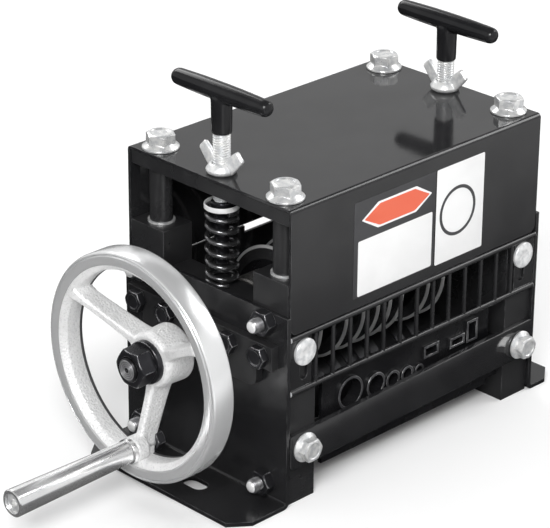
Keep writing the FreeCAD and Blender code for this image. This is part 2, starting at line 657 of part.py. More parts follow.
def make_wing(seat, side, base, neck, tip):
    """Make one wing of a wing nut: a flat leaf that flares up and out to a round tip."""
    half = WING_TIP_WIDTH / 2
    round_y = tip - half
    round_z = WING_HEIGHT - half
    lean = math.atan2(round_z, round_y - neck / 2)
    out = (math.sin(lean) * half, -math.cos(lean) * half)

    def at(y, z):
        return seat + Y_AXIS * (side * y) + Z_AXIS * z - X_AXIS * (WING_THICKNESS / 2)

    low = at(base * 0.72, WING_NUT_HUB_HEIGHT * 0.2)
    outer = at(round_y + out[0], round_z + out[1])
    crown = at(round_y + math.cos(lean) * half, round_z + math.sin(lean) * half)
    inner = at(round_y - out[0], round_z - out[1])
    high = at(neck * 0.75, WING_NUT_HUB_HEIGHT * 0.9)
    edges = [Part.LineSegment(low, outer).toShape(), Part.Arc(outer, crown, inner).toShape(),
             Part.LineSegment(inner, high).toShape(), Part.LineSegment(high, low).toShape()]
    leaf = Part.Face(Part.Wire(edges)).extrude(X_AXIS * WING_THICKNESS)
    rims = [edge for edge in leaf.Edges if edge.BoundBox.XLength < RUNNING_FIT and edge.BoundBox.ZMax > high.z]
    return leaf.makeFillet(WING_EDGE_ROUND, [edge for edge in rims if edge.BoundBox.YLength > neck / 4])


def biarc(start, start_way, end, end_way):
    """Return two arcs that join start to end and leave and arrive along the given unit vectors."""
    gap = end - start
    ways = start_way + end_way
    spread = 2 * (1 - start_way.dot(end_way))
    reach = (-gap.dot(ways) + math.sqrt(gap.dot(ways) ** 2 + spread * gap.dot(gap))) / spread
    joint = (start + end + (start_way - end_way) * reach) * 0.5
    return [tangent_arc(start, start_way, joint), tangent_arc(end, end_way * -1, joint)]


def tangent_arc(start, way, end):
    """Return the arc from start to end that leaves start along way."""
    chord = end - start
    angle = way.getAngle(chord)
    along = FreeCAD.Vector(chord).normalize()
    lift = (way - along * way.dot(along)).normalize()
    middle = (start + end) * 0.5 + lift * (chord.Length / 2 * math.tan(angle / 2))
    return Part.Arc(start, middle, end).toShape()


def coil_height(turn, bottom, rise):
    """Return the height of the wire's middle after a number of turns, and its rise in one turn."""
    end = SPRING_END_PITCH
    free = (rise - 2 * end) / (SPRING_TURNS - 2)
    if turn <= 1:
        return bottom + end * turn, end
    if turn >= SPRING_TURNS - 1:
        return bottom + rise - end * (SPRING_TURNS - turn), end
    return bottom + end + free * (turn - 1), free


def make_spring(side, lowered):
    """Make one compression spring as a single unbroken tube, closed up at both ends."""
    bottom = BLOCK_TOP + SPRING_SEAT_GAP + SPRING_WIRE / 2
    top = washer_top(lowered) - PRESSURE_WASHER_THICKNESS - SPRING_SEAT_GAP - SPRING_WIRE / 2
    radius = (SPRING_OUTER - SPRING_WIRE) / 2
    steps = 4 * SPRING_TURNS
    places = []
    ways = []
    for step in range(steps + 1):
        turn = step / 4
        angle = 2 * math.pi * turn
        height, slope = coil_height(turn, bottom, top - bottom)
        places.append(point(side * POST_X + radius * math.cos(angle), radius * math.sin(angle), height))
        way = point(-radius * math.sin(angle), radius * math.cos(angle), slope / (2 * math.pi))
        ways.append(way.normalize())
    edges = []
    for step in range(steps):
        first, last = biarc(places[step], ways[step], places[step + 1], ways[step + 1])
        edges += [first, last]
    path = Part.Wire(Part.__sortEdges__(edges))
    ring = Part.Wire([Part.Circle(places[0], ways[0], SPRING_WIRE / 2).toShape()])
    spring = path.makePipeShell([ring], True, False)
    report_spring(path, spring)
    return spring


def report_spring(path, spring):
    """Print the spring's least gap to itself, measured on points along the wire, and its volume."""
    count = 60 * SPRING_TURNS
    points = path.discretize(count)
    apart = count // SPRING_TURNS // 2
    least = min(points[i].distanceToPoint(points[j]) for i in range(count) for j in range(i + apart, count))
    share = spring.Volume / (math.pi * SPRING_WIRE ** 2 / 4 * path.Length)
    print("spring gap to itself %.2f mm, volume over section times length %.4f" % (least - SPRING_WIRE, share))


def make_bearing_block():
    """Make the left bearing block, which slides between the posts and carries the shaft."""
    half = POST_INNER_Y - BLOCK_SIDE_CLEARANCE
    block = box((-BLOCK_OUTER_X, -BLOCK_INNER_X), (-half, half), (BLOCK_BOTTOM, BLOCK_TOP))
    upright = [e for e in block.Edges if abs(e.tangentAt(e.FirstParameter).z) > 0.99]
    block = block.makeChamfer(BLOCK_CHAMFER, upright)
    return block.cut(rod(BUSH_OUTER, point(-BLOCK_OUTER_X, 0, SHAFT_HEIGHT), X_AXIS, BLOCK_THICKNESS))


def make_lower_block():
    """Make the left lower block, welded between the posts under the sliding block."""
    block = box((-BLOCK_OUTER_X, -BLOCK_INNER_X), (-POST_INNER_Y, POST_INNER_Y), (0, BLOCK_BOTTOM))
    return block.cut(rod(ROLLER_BUSH_OUTER, point(-BLOCK_OUTER_X, 0, ROLLER_HEIGHT), X_AXIS, BLOCK_THICKNESS))


def make_bushes(outer, inner, height):
    """Make the pair of plain bushes in the left and right blocks at one height."""
    start = point(-BLOCK_OUTER_X, 0, height)
    bush = tube(outer, inner + 2 * RUNNING_FIT, start, X_AXIS, BLOCK_THICKNESS)
    return pair(bush)


def make_shaft():
    """Make the blade shaft, turned down to a seat, a thread and a centred end for the wheel."""
    right = BLOCK_OUTER_X
    nut_face = HUB_FRONT + WHEEL_WASHER_THICKNESS + WHEEL_NUT_HEIGHT
    tip = nut_face + SHAFT_THREAD_REACH
    start = point(right, 0, SHAFT_HEIGHT)
    seat = SHAFT_SEAT / 2
    thread = SHAFT_THREAD / 2
    main = SHAFT_DIAMETER / 2
    profile = [(0, 0), (0, main - 1), (1, main), (right + HUB_BACK, main), (right + HUB_BACK, seat),
               (right + HUB_FRONT, seat), (right + HUB_FRONT, thread), (right + tip - 1, thread),
               (right + tip, thread - 1), (right + tip, 0)]
    shaft = turned(profile, start, X_AXIS * -1)
    hole = turned([(0, 0), (0, SHAFT_CENTRE_HOLE / 2), (SHAFT_CENTRE_HOLE, 0)],
                  point(-tip, 0, SHAFT_HEIGHT), X_AXIS)
    return shaft.cut(hole).cut(key_shape(0))


def key_shape(clearance):
    """Return the wheel key, or with a clearance the room for it."""
    half = WHEEL_KEY / 2
    middle = (HUB_FRONT + HUB_BACK) / 2
    reach = WHEEL_KEY_LENGTH / 2
    base = SHAFT_HEIGHT + SHAFT_SEAT / 2
    return box((-middle - reach - clearance, -middle + reach + clearance), (-half - clearance, half + clearance),
               (base - half, base + half + clearance))


def blade_edges():
    """Return the low and high x of each blade along the shaft."""
    half = BLADE_THICKNESS / 2
    return [(place - half, place + half) for place in BLADE_PLACES]


def make_blade(place):
    """Make one round blade: a disc ground to an edge from both sides."""
    half = BLADE_THICKNESS / 2
    outer = BLADE_DIAMETER / 2
    bore = SHAFT_DIAMETER / 2 + RUNNING_FIT
    profile = [(-half, bore), (-half, outer - BLADE_BEVEL), (-BLADE_EDGE / 2, outer), (BLADE_EDGE / 2, outer),
               (half, outer - BLADE_BEVEL), (half, bore)]
    return turned(profile, point(place, 0, SHAFT_HEIGHT), X_AXIS)


def make_blade_spacers():
    """Make the spacers that fill the shaft between the blades and out to the clamp collars."""
    starts = [-STACK_HALF + COLLAR_LENGTH] + [edge[1] for edge in blade_edges()]
    ends = [edge[0] for edge in blade_edges()] + [STACK_HALF - COLLAR_LENGTH]
    spacers = []
    for start, end in zip(starts, ends):
        spacers.append(make_spacer(start, end))
    return group(spacers)


def make_spacer(start, end):
    """Make one spacer with broken edges between two places along the shaft."""
    outer = SPACER_TUBE_DIAMETER / 2
    bore = SHAFT_DIAMETER / 2 + RUNNING_FIT
    broken = SPACER_TUBE_CHAMFER
    length = end - start
    profile = [(0, bore), (0, outer - broken), (broken, outer), (length - broken, outer),
               (length, outer - broken), (length, bore)]
    return turned(profile, point(start, 0, SHAFT_HEIGHT), X_AXIS)


def make_clamp_collars():
    """Make the two collars that clamp the stack on the shaft, and their grub screws."""
    start = point(-STACK_HALF, 0, SHAFT_HEIGHT)
    collar = tube(COLLAR_DIAMETER, SHAFT_DIAMETER + 2 * RUNNING_FIT, start, X_AXIS, COLLAR_LENGTH)
    middle = point(-STACK_HALF + COLLAR_LENGTH / 2, 0, SHAFT_HEIGHT)
    hole = rod(GRUB_DIAMETER + 2 * RUNNING_FIT, middle, Z_AXIS, COLLAR_DIAMETER)
    grub = rod(GRUB_DIAMETER, middle + Z_AXIS * (SHAFT_DIAMETER / 2 + RUNNING_FIT), Z_AXIS, GRUB_LENGTH)
    collar = collar.cut(hole)
    return pair(collar), pair(grub)


def make_roller_shaft():
    """Make the lower shaft, which turns freely in its two bushes."""
    length = 2 * (BLOCK_OUTER_X - ROLLER_END_CLEARANCE / 2)
    return rod(ROLLER_SHAFT_DIAMETER, point(-length / 2, 0, ROLLER_HEIGHT), X_AXIS, length)


def make_roller():
    """Make the lower roller, with a vee groove under each blade."""
    half = BLOCK_INNER_X - ROLLER_END_CLEARANCE
    outer = ROLLER_DIAMETER / 2
    bore = ROLLER_SHAFT_DIAMETER / 2 + RUNNING_FIT
    profile = [(-half, bore), (-half, outer - ROLLER_CHAMFER), (-half + ROLLER_CHAMFER, outer)]
    for place in BLADE_PLACES:
        profile += [(place - ROLLER_GROOVE_WIDTH / 2, outer), (place, outer - ROLLER_GROOVE_DEPTH),
                    (place + ROLLER_GROOVE_WIDTH / 2, outer)]
    profile += [(half - ROLLER_CHAMFER, outer), (half, outer - ROLLER_CHAMFER), (half, bore)]
    return turned(profile, point(0, 0, ROLLER_HEIGHT), X_AXIS)


def panel_screw_places():
    """Return the y and z of the two screws in each ear of the feed panel."""
    y = PANEL_FACE_Y + PANEL_THICKNESS + (PANEL_EAR_DEPTH - PANEL_THICKNESS) / 2
    middle = (PANEL_EAR_BOTTOM + PANEL_EAR_TOP) / 2
    return [(y, middle - PANEL_SCREW_SPACING / 2), (y, middle + PANEL_SCREW_SPACING / 2)]


def make_feed_panel():
    """Make the feed panel: a sheet with bent ears, and a short guide tube round every feed hole."""
    y = (PANEL_FACE_Y, PANEL_FACE_Y + PANEL_THICKNESS)
    half = PANEL_WIDTH / 2
    panel = box((-half, half), y, (PANEL_BOTTOM, PANEL_TOP))
    for side in (-1, 1):
        ear_x = sorted((side * half, side * POST_INNER_X))
        panel = panel.fuse(box(ear_x, y, (PANEL_EAR_BOTTOM, PANEL_EAR_TOP)))
        flange_x = sorted((side * (POST_INNER_X - PANEL_THICKNESS), side * POST_INNER_X))
        panel = panel.fuse(box(flange_x, (PANEL_FACE_Y, PANEL_FACE_Y + PANEL_EAR_DEPTH),
                               (PANEL_EAR_BOTTOM, PANEL_EAR_TOP)))
        for place in panel_screw_places():
            start = point(side * (POST_INNER_X - PANEL_THICKNESS), place[0], place[1])
            hole = rod(PANEL_SCREW_DIAMETER + BOLT_CLEARANCE, start, X_AXIS * side, PANEL_THICKNESS)
            panel = panel.cut(hole)
    front = PANEL_FACE_Y - RIM_PROUD
    holes = []
    for x, outer in ROUND_FEEDS:
        start = point(x, front, FEED_FLOOR + outer / 2)
        panel = panel.fuse(rod(outer, start, Y_AXIS, RIM_LENGTH))
        holes.append(rod(outer - 2 * RIM_WALL, start, Y_AXIS, RIM_LENGTH))
    for x, width, low, high in FLAT_FEEDS:
        rim_x = (x - width / 2, x + width / 2)
        panel = panel.fuse(box(rim_x, (front, front + RIM_LENGTH), (low, high)))
        holes.append(box((rim_x[0] + RIM_WALL, rim_x[1] - RIM_WALL), (front, front + RIM_LENGTH),
                         (low + RIM_WALL, high - RIM_WALL)))
    panel = panel.removeSplitter()
    for hole in holes:
        panel = panel.cut(hole)
    return panel


def make_panel_screws():
    """Make the screws through the panel's ears into the front posts."""
    screws = []
    for side in (-1, 1):
        for place in panel_screw_places():
            seat = point(side * (POST_INNER_X - PANEL_THICKNESS), place[0], place[1])
            head = rod(PANEL_SCREW_HEAD, seat, X_AXIS * -side, PANEL_SCREW_HEAD_HEIGHT)
            shank = rod(PANEL_SCREW_DIAMETER, seat, X_AXIS * side, PANEL_THICKNESS + PANEL_SCREW_EMBED)
            screws.append(head.fuse(shank))
    return group(screws)


def make_guard():
    """Make the welded guard: two long rods, upright wires between them and a slotted plate at each end."""
    rod_y = -FACE_Y - GUARD_ROD / 2
    reach = END_X - GUARD_END_GAP
    low = GUARD_BOTTOM_ROD_HEIGHT
    high = GUARD_TOP_ROD_HEIGHT
    guard = rod(GUARD_ROD, point(-reach, rod_y, low), X_AXIS, 2 * reach)
    guard = guard.fuse(rod(GUARD_ROD, point(-reach, rod_y, high), X_AXIS, 2 * reach))
    first = -GUARD_WIRE_PITCH * (GUARD_WIRE_COUNT - 1) / 2
    for number in range(GUARD_WIRE_COUNT):
        start = point(first + number * GUARD_WIRE_PITCH, rod_y, low)
        guard = guard.fuse(rod(GUARD_WIRE, start, Z_AXIS, high - low))
    for side in (-1, 1):
        x = sorted((side * reach, side * (reach - GUARD_PLATE_WIDTH)))
        plate = box(x, (-FACE_Y - GUARD_PLATE_THICKNESS, -FACE_Y), (low, high))
        top = GUARD_BOLT_HEIGHT + GUARD_BOLT_DIAMETER / 2 + BOLT_CLEARANCE
        middle = point(side * POST_X, -FACE_Y, top - GUARD_SLOT_LENGTH / 2)
        slot = slot_along(GUARD_SLOT_LENGTH, GUARD_BOLT_DIAMETER + 2 * BOLT_CLEARANCE, middle, Z_AXIS, Y_AXIS,
                          4 * GUARD_PLATE_THICKNESS)
        guard = guard.fuse(plate.cut(slot))
    return guard


def make_rear_guard():
    """Make the plain guard plate on the rear posts, above the outlet, with a notch for a look inside."""
    y = (FACE_Y, FACE_Y + GUARD_PLATE_THICKNESS)
    plate = box((-END_X, END_X), y, (REAR_GUARD_BOTTOM, REAR_GUARD_TOP))
    half = REAR_NOTCH_LENGTH / 2
    plate = plate.cut(box((-half, half), y, (REAR_GUARD_TOP - REAR_NOTCH_DEPTH, REAR_GUARD_TOP)))
    for side in (-1, 1):
        start = point(side * POST_X, FACE_Y, GUARD_BOLT_HEIGHT)
        plate = plate.cut(rod(GUARD_BOLT_DIAMETER + 2 * BOLT_CLEARANCE, start, Y_AXIS, GUARD_PLATE_THICKNESS))
    return plate


def make_guard_bolts():
    """Make the disc-headed bolts that hold the front and rear guards."""
    bolts = []
    for x, sy in four_corners(POST_X, 1):
        seat = point(x, sy * (FACE_Y + GUARD_PLATE_THICKNESS), GUARD_BOLT_HEIGHT)
        radius = GUARD_BOLT_HEAD / 2
        high = GUARD_BOLT_HEAD_HEIGHT
        head = turned([(0, 0), (0, radius), (high * 0.6, radius), (high, radius - high * 0.4), (high, 0)],
                      seat, Y_AXIS * sy)
        shank = rod(GUARD_BOLT_DIAMETER, seat, Y_AXIS * -sy, GUARD_PLATE_THICKNESS + GUARD_BOLT_EMBED)
        bolts.append(head.fuse(shank))
    return group(bolts)


def make_lower_plate(sy):
    """Make one lower cross plate on the faces of two posts; sy is -1 for the front."""
    y = sorted((sy * FACE_Y, sy * (FACE_Y + LOWER_PLATE_THICKNESS)))
    plate = box((-END_X, END_X), y, (LOWER_PLATE_BOTTOM, LOWER_PLATE_BOTTOM + LOWER_PLATE_HEIGHT))
    ends = [e for e in plate.Edges if abs(e.tangentAt(e.FirstParameter).y) > 0.99]
    plate = plate.makeFillet(LOWER_PLATE_CORNER, ends)
    for side in (-1, 1):
        start = point(side * POST_X, y[0], LOWER_BOLT_HEIGHT)
        plate = plate.cut(rod(LOWER_BOLT_DIAMETER + 2 * BOLT_CLEARANCE, start, Y_AXIS, LOWER_PLATE_THICKNESS))
    return plate


def make_lower_bolts():
    """Make the flanged bolts of the front and rear lower plates."""
    bolts = []
    for x, sy in four_corners(POST_X, 1):
        seat = point(x, sy * (FACE_Y + LOWER_PLATE_THICKNESS), LOWER_BOLT_HEIGHT)
        bolts.append(flange_bolt(LOWER_BOLT_FLANGE, LOWER_BOLT_FLATS, LOWER_BOLT_HEAD, LOWER_BOLT_DIAMETER,
                                 seat, Y_AXIS * sy, LOWER_PLATE_THICKNESS + LOWER_BOLT_EMBED))
    return group(bolts)


def rounded_section(x, radius, angle, thickness, width):
    """Return a rounded oblong section of a spoke, square to the spoke, at a radius from the shaft."""
    out = point(0, math.cos(angle), math.sin(angle))
    across = point(0, -math.sin(angle), math.cos(angle))
    centre = point(x, 0, SHAFT_HEIGHT) + out * radius
    a = thickness / 2
    b = width / 2
    r = SPOKE_ROUND
    k = r * (1 - math.sqrt(0.5))

    def at(u, v):
        return centre + X_AXIS * u + across * v

    edges = []
    for su, sv in ((1, 1), (-1, 1), (-1, -1), (1, -1)):
        corner = [at(su * a, sv * (b - r)), at(su * (a - k), sv * (b - k)), at(su * (a - r), sv * b)]
        if su * sv < 0:
            corner.reverse()
        if edges:
            edges.append(Part.LineSegment(edges[-1].Vertexes[-1].Point, corner[0]).toShape())
        edges.append(Part.Arc(*corner).toShape())
    edges.append(Part.LineSegment(edges[-1].Vertexes[-1].Point, edges[0].Vertexes[0].Point).toShape())
    return Part.Wire(edges)


def make_wheel():
    """Make the cast handwheel: turned rim and hub, three dished spokes and the crank boss."""
    outer = WHEEL_DIAMETER / 2
    inner = outer - WHEEL_RIM_DEPTH
    back = WHEEL_RIM_WIDTH
    cut = WHEEL_RIM_ROUND
    slope = WHEEL_RIM_DEPTH - WHEEL_RIM_FLAT
    face = point(-WHEEL_RIM_FACE, 0, SHAFT_HEIGHT)
    rim = turned([(cut, outer), (0, outer - cut), (0, outer - WHEEL_RIM_FLAT), (slope, inner), (back - slope, inner),
                  (back, outer - WHEEL_RIM_FLAT), (back, outer - cut), (back - cut, outer)], face, X_AXIS)
    front = point(-HUB_FRONT, 0, SHAFT_HEIGHT)
    flare = (HUB_DIAMETER - HUB_FRONT_DIAMETER) / 2
    wheel = turned([(0, 0), (0, HUB_FRONT_DIAMETER / 2 - 1), (1, HUB_FRONT_DIAMETER / 2), (1 + flare, HUB_DIAMETER / 2),
                    (HUB_LENGTH - 2, HUB_DIAMETER / 2), (HUB_LENGTH, HUB_DIAMETER / 2 - 2), (HUB_LENGTH, 0)],
                   front, X_AXIS)
    rim_x = -WHEEL_RIM_FACE + WHEEL_RIM_WIDTH / 2
    root_x = -HUB_FRONT + SPOKE_THICKNESS / 2 + 1
    stations = [(HUB_FRONT_DIAMETER / 2 - 4, SPOKE_ROOT_WIDTH), (HUB_DIAMETER / 2 + 8, SPOKE_WIDTH + 2),
                (inner + 2, SPOKE_WIDTH)]
    for number in range(SPOKE_COUNT):
        angle = math.radians(-90 + 360 / SPOKE_COUNT * number)
        sections = []
        for radius, width in stations:
            share = (radius - stations[0][0]) / (stations[-1][0] - stations[0][0])
            x = root_x + (rim_x - root_x) * share
            sections.append(rounded_section(x, radius, angle, SPOKE_THICKNESS, width))
        wheel = wheel.fuse(Part.makeLoft(sections, True, False))
    boss_length = WHEEL_RIM_WIDTH
    boss = rod(CRANK_BOSS_DIAMETER, point(-WHEEL_RIM_FACE, 0, CRANK_Z), X_AXIS, boss_length)
    wheel = wheel.fuse(boss).fuse(rim).removeSplitter()
    wheel = wheel.cut(rod(CRANK_BOLT_DIAMETER + 2 * RUNNING_FIT, point(-WHEEL_RIM_FACE, 0, CRANK_Z), X_AXIS,
                          boss_length))
    wheel = wheel.cut(rod(SHAFT_SEAT + 2 * RUNNING_FIT, front, X_AXIS, HUB_LENGTH))
    return wheel.cut(key_shape(RUNNING_FIT))


def make_wheel_nut():
    """Make the nut on the end of the shaft and the thick washer behind it."""
    washer_face = HUB_FRONT + WHEEL_WASHER_THICKNESS
    washer = tube(WHEEL_WASHER_DIAMETER, SHAFT_THREAD + 2 * RUNNING_FIT, point(-washer_face, 0, SHAFT_HEIGHT),
                  X_AXIS, WHEEL_WASHER_THICKNESS)
    seat = point(-washer_face, 0, SHAFT_HEIGHT)
    nut = hexagon(WHEEL_NUT_FLATS, seat, X_AXIS * -1, WHEEL_NUT_HEIGHT)
    return washer, nut.cut(rod(SHAFT_THREAD + 2 * RUNNING_FIT, seat, X_AXIS * -1, WHEEL_NUT_HEIGHT))


def make_crank():
    """Make the turning grip, its collar, the bolt it runs on and the nut behind the wheel."""
    base = WHEEL_RIM_FACE + GRIP_COLLAR_THICKNESS
    tip = base + GRIP_PLAY + GRIP_LENGTH
    bolt_fit = CRANK_BOLT_DIAMETER + 2 * RUNNING_FIT
    collar = tube(GRIP_COLLAR_DIAMETER, bolt_fit, point(-base, 0, CRANK_Z), X_AXIS, GRIP_COLLAR_THICKNESS)
    thin = GRIP_BASE_DIAMETER / 2
    thick = GRIP_END_DIAMETER / 2
    r = GRIP_ROUND
    start = point(-base - GRIP_PLAY, 0, CRANK_Z)
    grip = turned([(0, 0), (0, thin - r), (r, thin), (GRIP_LENGTH - r, thick), (GRIP_LENGTH, thick - r),
                   (GRIP_LENGTH, 0)], start, X_AXIS * -1)
    recess = rod(GRIP_END_DIAMETER - 2 * (r + GRIP_END_LIP), point(-tip, 0, CRANK_Z), X_AXIS, GRIP_END_RECESS)
    head_depth = (CRANK_BOLT_HEAD - CRANK_BOLT_DIAMETER) / 2
    head_face = tip - GRIP_END_RECESS + GRIP_PLAY
    floor = point(-tip + GRIP_END_RECESS, 0, CRANK_Z)
    sink = turned([(0, 0), (0, CRANK_BOLT_HEAD / 2 + RUNNING_FIT), (head_depth, CRANK_BOLT_DIAMETER / 2 + RUNNING_FIT),
                   (head_depth, 0)], floor, X_AXIS)
    grip = grip.cut(recess).cut(sink).cut(rod(bolt_fit, start, X_AXIS * -1, GRIP_LENGTH))
    nut_seat = WHEEL_RIM_FACE - WHEEL_RIM_WIDTH
    bolt_end = nut_seat - CRANK_NUT_HEIGHT - 2
    bolt = turned([(0, 0), (0, CRANK_BOLT_HEAD / 2), (head_depth, CRANK_BOLT_DIAMETER / 2),
                   (head_face - bolt_end, CRANK_BOLT_DIAMETER / 2), (head_face - bolt_end, 0)],
                  point(-head_face, 0, CRANK_Z), X_AXIS)
    nut = hexagon(CRANK_NUT_FLATS, point(-nut_seat, 0, CRANK_Z), X_AXIS, CRANK_NUT_HEIGHT)
    nut = nut.cut(rod(bolt_fit, point(-nut_seat, 0, CRANK_Z), X_AXIS, CRANK_NUT_HEIGHT))
    return grip, collar, bolt, nut


def build():
    """Make every sub-part and return the shapes by name."""
    parts = make_posts()
    parts["left_end_plate"] = make_end_plate(LEFT_FOOT_REACH)
    parts["right_end_plate"] = mirrored(make_end_plate(RIGHT_FOOT_REACH))
    parts["end_studs"], parts["end_nuts"] = make_end_studs()
    parts["bearing_keepers"] = pair(make_keeper())
    parts["keeper_bolts"] = make_keeper_bolts()
    parts["top_cover"] = make_cover()
    parts["top_plate"] = make_top_plate()
    parts["post_spacers"], parts["spacer_washers"] = make_post_spacers()
    parts["top_bolts"] = make_top_bolts()
    for side, end, lowered in ((-1, "left", 0.0), (1, "right", RIGHT_SCREW_LOWERED)):
        washer, screw, handle, nut = make_pressure_set(side, lowered)
        parts[end + "_pressure_washer"] = washer
        parts[end + "_pressure_screw"] = screw
        parts[end + "_t_handle"] = handle
        parts[end + "_wing_nut"] = nut
        parts[end + "_spring"] = make_spring(side, lowered)
    parts["left_bearing_block"] = make_bearing_block()
    parts["right_bearing_block"] = mirrored(parts["left_bearing_block"])
    parts["shaft_bushes"] = make_bushes(BUSH_OUTER, SHAFT_DIAMETER, SHAFT_HEIGHT)
    parts["lower_blocks"] = pair(make_lower_block())
    parts["roller_bushes"] = make_bushes(ROLLER_BUSH_OUTER, ROLLER_SHAFT_DIAMETER, ROLLER_HEIGHT)
    parts["blade_shaft"] = make_shaft()
    for number, place in enumerate(BLADE_PLACES, start=1):
        parts["round_blade_%d" % number] = make_blade(place)
    parts["blade_spacers"] = make_blade_spacers()
    parts["clamp_collars"], parts["grub_screws"] = make_clamp_collars()
    parts["roller_shaft"] = make_roller_shaft()
    parts["grooved_roller"] = make_roller()
    parts["feed_panel"] = make_feed_panel()
    parts["panel_screws"] = make_panel_screws()
    parts["front_guard"] = make_guard()
    parts["rear_guard"] = make_rear_guard()
    parts["guard_bolts"] = make_guard_bolts()
    parts["front_lower_plate"] = make_lower_plate(-1)
    parts["rear_lower_plate"] = make_lower_plate(1)
    parts["lower_plate_bolts"] = make_lower_bolts()
    parts["hand_wheel"] = make_wheel()
    parts["wheel_key"] = key_shape(0)
    parts["wheel_washer"], parts["wheel_nut"] = make_wheel_nut()
    parts["crank_grip"], parts["crank_collar"], parts["crank_bolt"], parts["crank_nut"] = make_crank()
    return parts


os.makedirs("parts", exist_ok=True)
for name, shape in build().items():
    shape.exportStep(os.path.join("parts", name + ".step"))
    solids = len(shape.Solids)
    print("%-22s %2d solid(s) valid %s volume %.0f" % (name, solids, shape.isValid(), shape.Volume))
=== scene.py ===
"""Dressed model of a hand-cranked wire stripping machine.

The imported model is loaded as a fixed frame. Every piece made here sits on it, in metres, with +Z up,
+X along the shafts and away from the handwheel, and -Y towards the feed side.
"""

from __future__ import annotations

import logging
import math
from dataclasses import dataclass
from enum import Enum
from typing import Any, Callable, Iterable, Sequence

import bmesh
import bpy
from mathutils import Matrix, Vector

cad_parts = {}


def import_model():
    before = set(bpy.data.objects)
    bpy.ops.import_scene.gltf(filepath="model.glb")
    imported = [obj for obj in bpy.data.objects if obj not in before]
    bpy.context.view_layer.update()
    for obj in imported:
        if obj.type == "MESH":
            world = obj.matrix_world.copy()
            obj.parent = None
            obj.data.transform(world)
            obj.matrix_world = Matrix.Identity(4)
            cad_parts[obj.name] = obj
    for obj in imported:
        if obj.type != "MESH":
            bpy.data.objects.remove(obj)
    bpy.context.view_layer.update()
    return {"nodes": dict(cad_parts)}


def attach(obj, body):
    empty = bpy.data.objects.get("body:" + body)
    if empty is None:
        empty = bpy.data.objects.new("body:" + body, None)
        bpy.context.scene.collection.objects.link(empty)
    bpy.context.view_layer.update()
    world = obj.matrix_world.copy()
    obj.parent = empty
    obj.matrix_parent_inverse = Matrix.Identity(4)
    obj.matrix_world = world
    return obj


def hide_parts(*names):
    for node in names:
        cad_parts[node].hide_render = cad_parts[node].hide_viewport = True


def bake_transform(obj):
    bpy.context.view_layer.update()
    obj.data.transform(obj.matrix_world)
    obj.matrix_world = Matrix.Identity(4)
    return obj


LOG = logging.getLogger("wire_stripper")
MM = 0.001
SHAFT_Z = 0.100
ROLLER_Z = 0.029
CRANK_Z = 0.040
POST_X = 0.109
POST_Y = 0.059
FACE_Y = 0.075
COVER_TOP = 0.215
PLATE_X = 0.125
KEEPER_X = 0.131
BOTH = (-1, 1)
CORNERS = tuple((sx, sy) for sx in BOTH for sy in BOTH)
ALONG_X = (1.0, 0.0, 0.0)
ALONG_Y = (0.0, 1.0, 0.0)
PINHOLE = 1e-6
CHAMFER = math.tan(math.radians(30))

Colour = tuple[float, float, float]
Ring = list[Vector]
Profile = Sequence[tuple[float, float]]
Row = Callable[[float], tuple[float, float]]


# Mesh making


def metres(pairs: Profile) -> list[tuple[float, float]]:
    """Return pairs of millimetres as pairs of metres."""
    return [(first * MM, second * MM) for first, second in pairs]


def shank(radius: float, length: float, run: float = 0.4, drop: float = 0.5) -> list[tuple[float, float]]:
    """Return the profile of a plain shank with a broken tip.

    Args:
        radius: Its radius in millimetres.
        length: Its length in millimetres.
        run: The length of the broken tip in millimetres.
        drop: How far the tip draws in, in millimetres.

    Returns:
        Pairs of (distance along the axis, radius) in metres.
    """
    return metres([(0, 0), (0, radius), (length - run, radius), (length, radius - drop), (length, 0)])


def polar(radius: float, angle: float, along: float) -> Vector:
    """Return the point at a radius, an angle and a distance along local Z."""
    return Vector((radius * math.cos(angle), radius * math.sin(angle), along))


def level(along: float, radius: float) -> Row:
    """Return a row that keeps its place and radius all the way round."""
    return lambda angle: (along, radius)


def linked(name: str, data: bpy.types.ID) -> bpy.types.Object:
    """Return a new object of some data, linked to the scene."""
    made = bpy.data.objects.new(name, data)
    bpy.context.scene.collection.objects.link(made)
    return made


def squared(wave: float, power: float) -> float:
    """Return a sine or cosine pushed towards 1 and -1, which squares off an oval."""
    return math.copysign(abs(wave) ** power, wave)


def hexagon_radius(flats: float, angle: float) -> float:
    """Return the distance from the middle of a hexagon to its edge at an angle."""
    sector = math.radians(60)
    off = (angle % sector) - sector / 2
    return flats / 2 / math.cos(off)


def axis_frame(origin: Sequence[float], axis: Sequence[float]) -> Matrix:
    """Return the placement whose local Z runs along axis from origin."""
    turn = Vector(axis).normalized().to_track_quat("Z", "Y")
    return Matrix.Translation(Vector(origin)) @ turn.to_matrix().to_4x4()


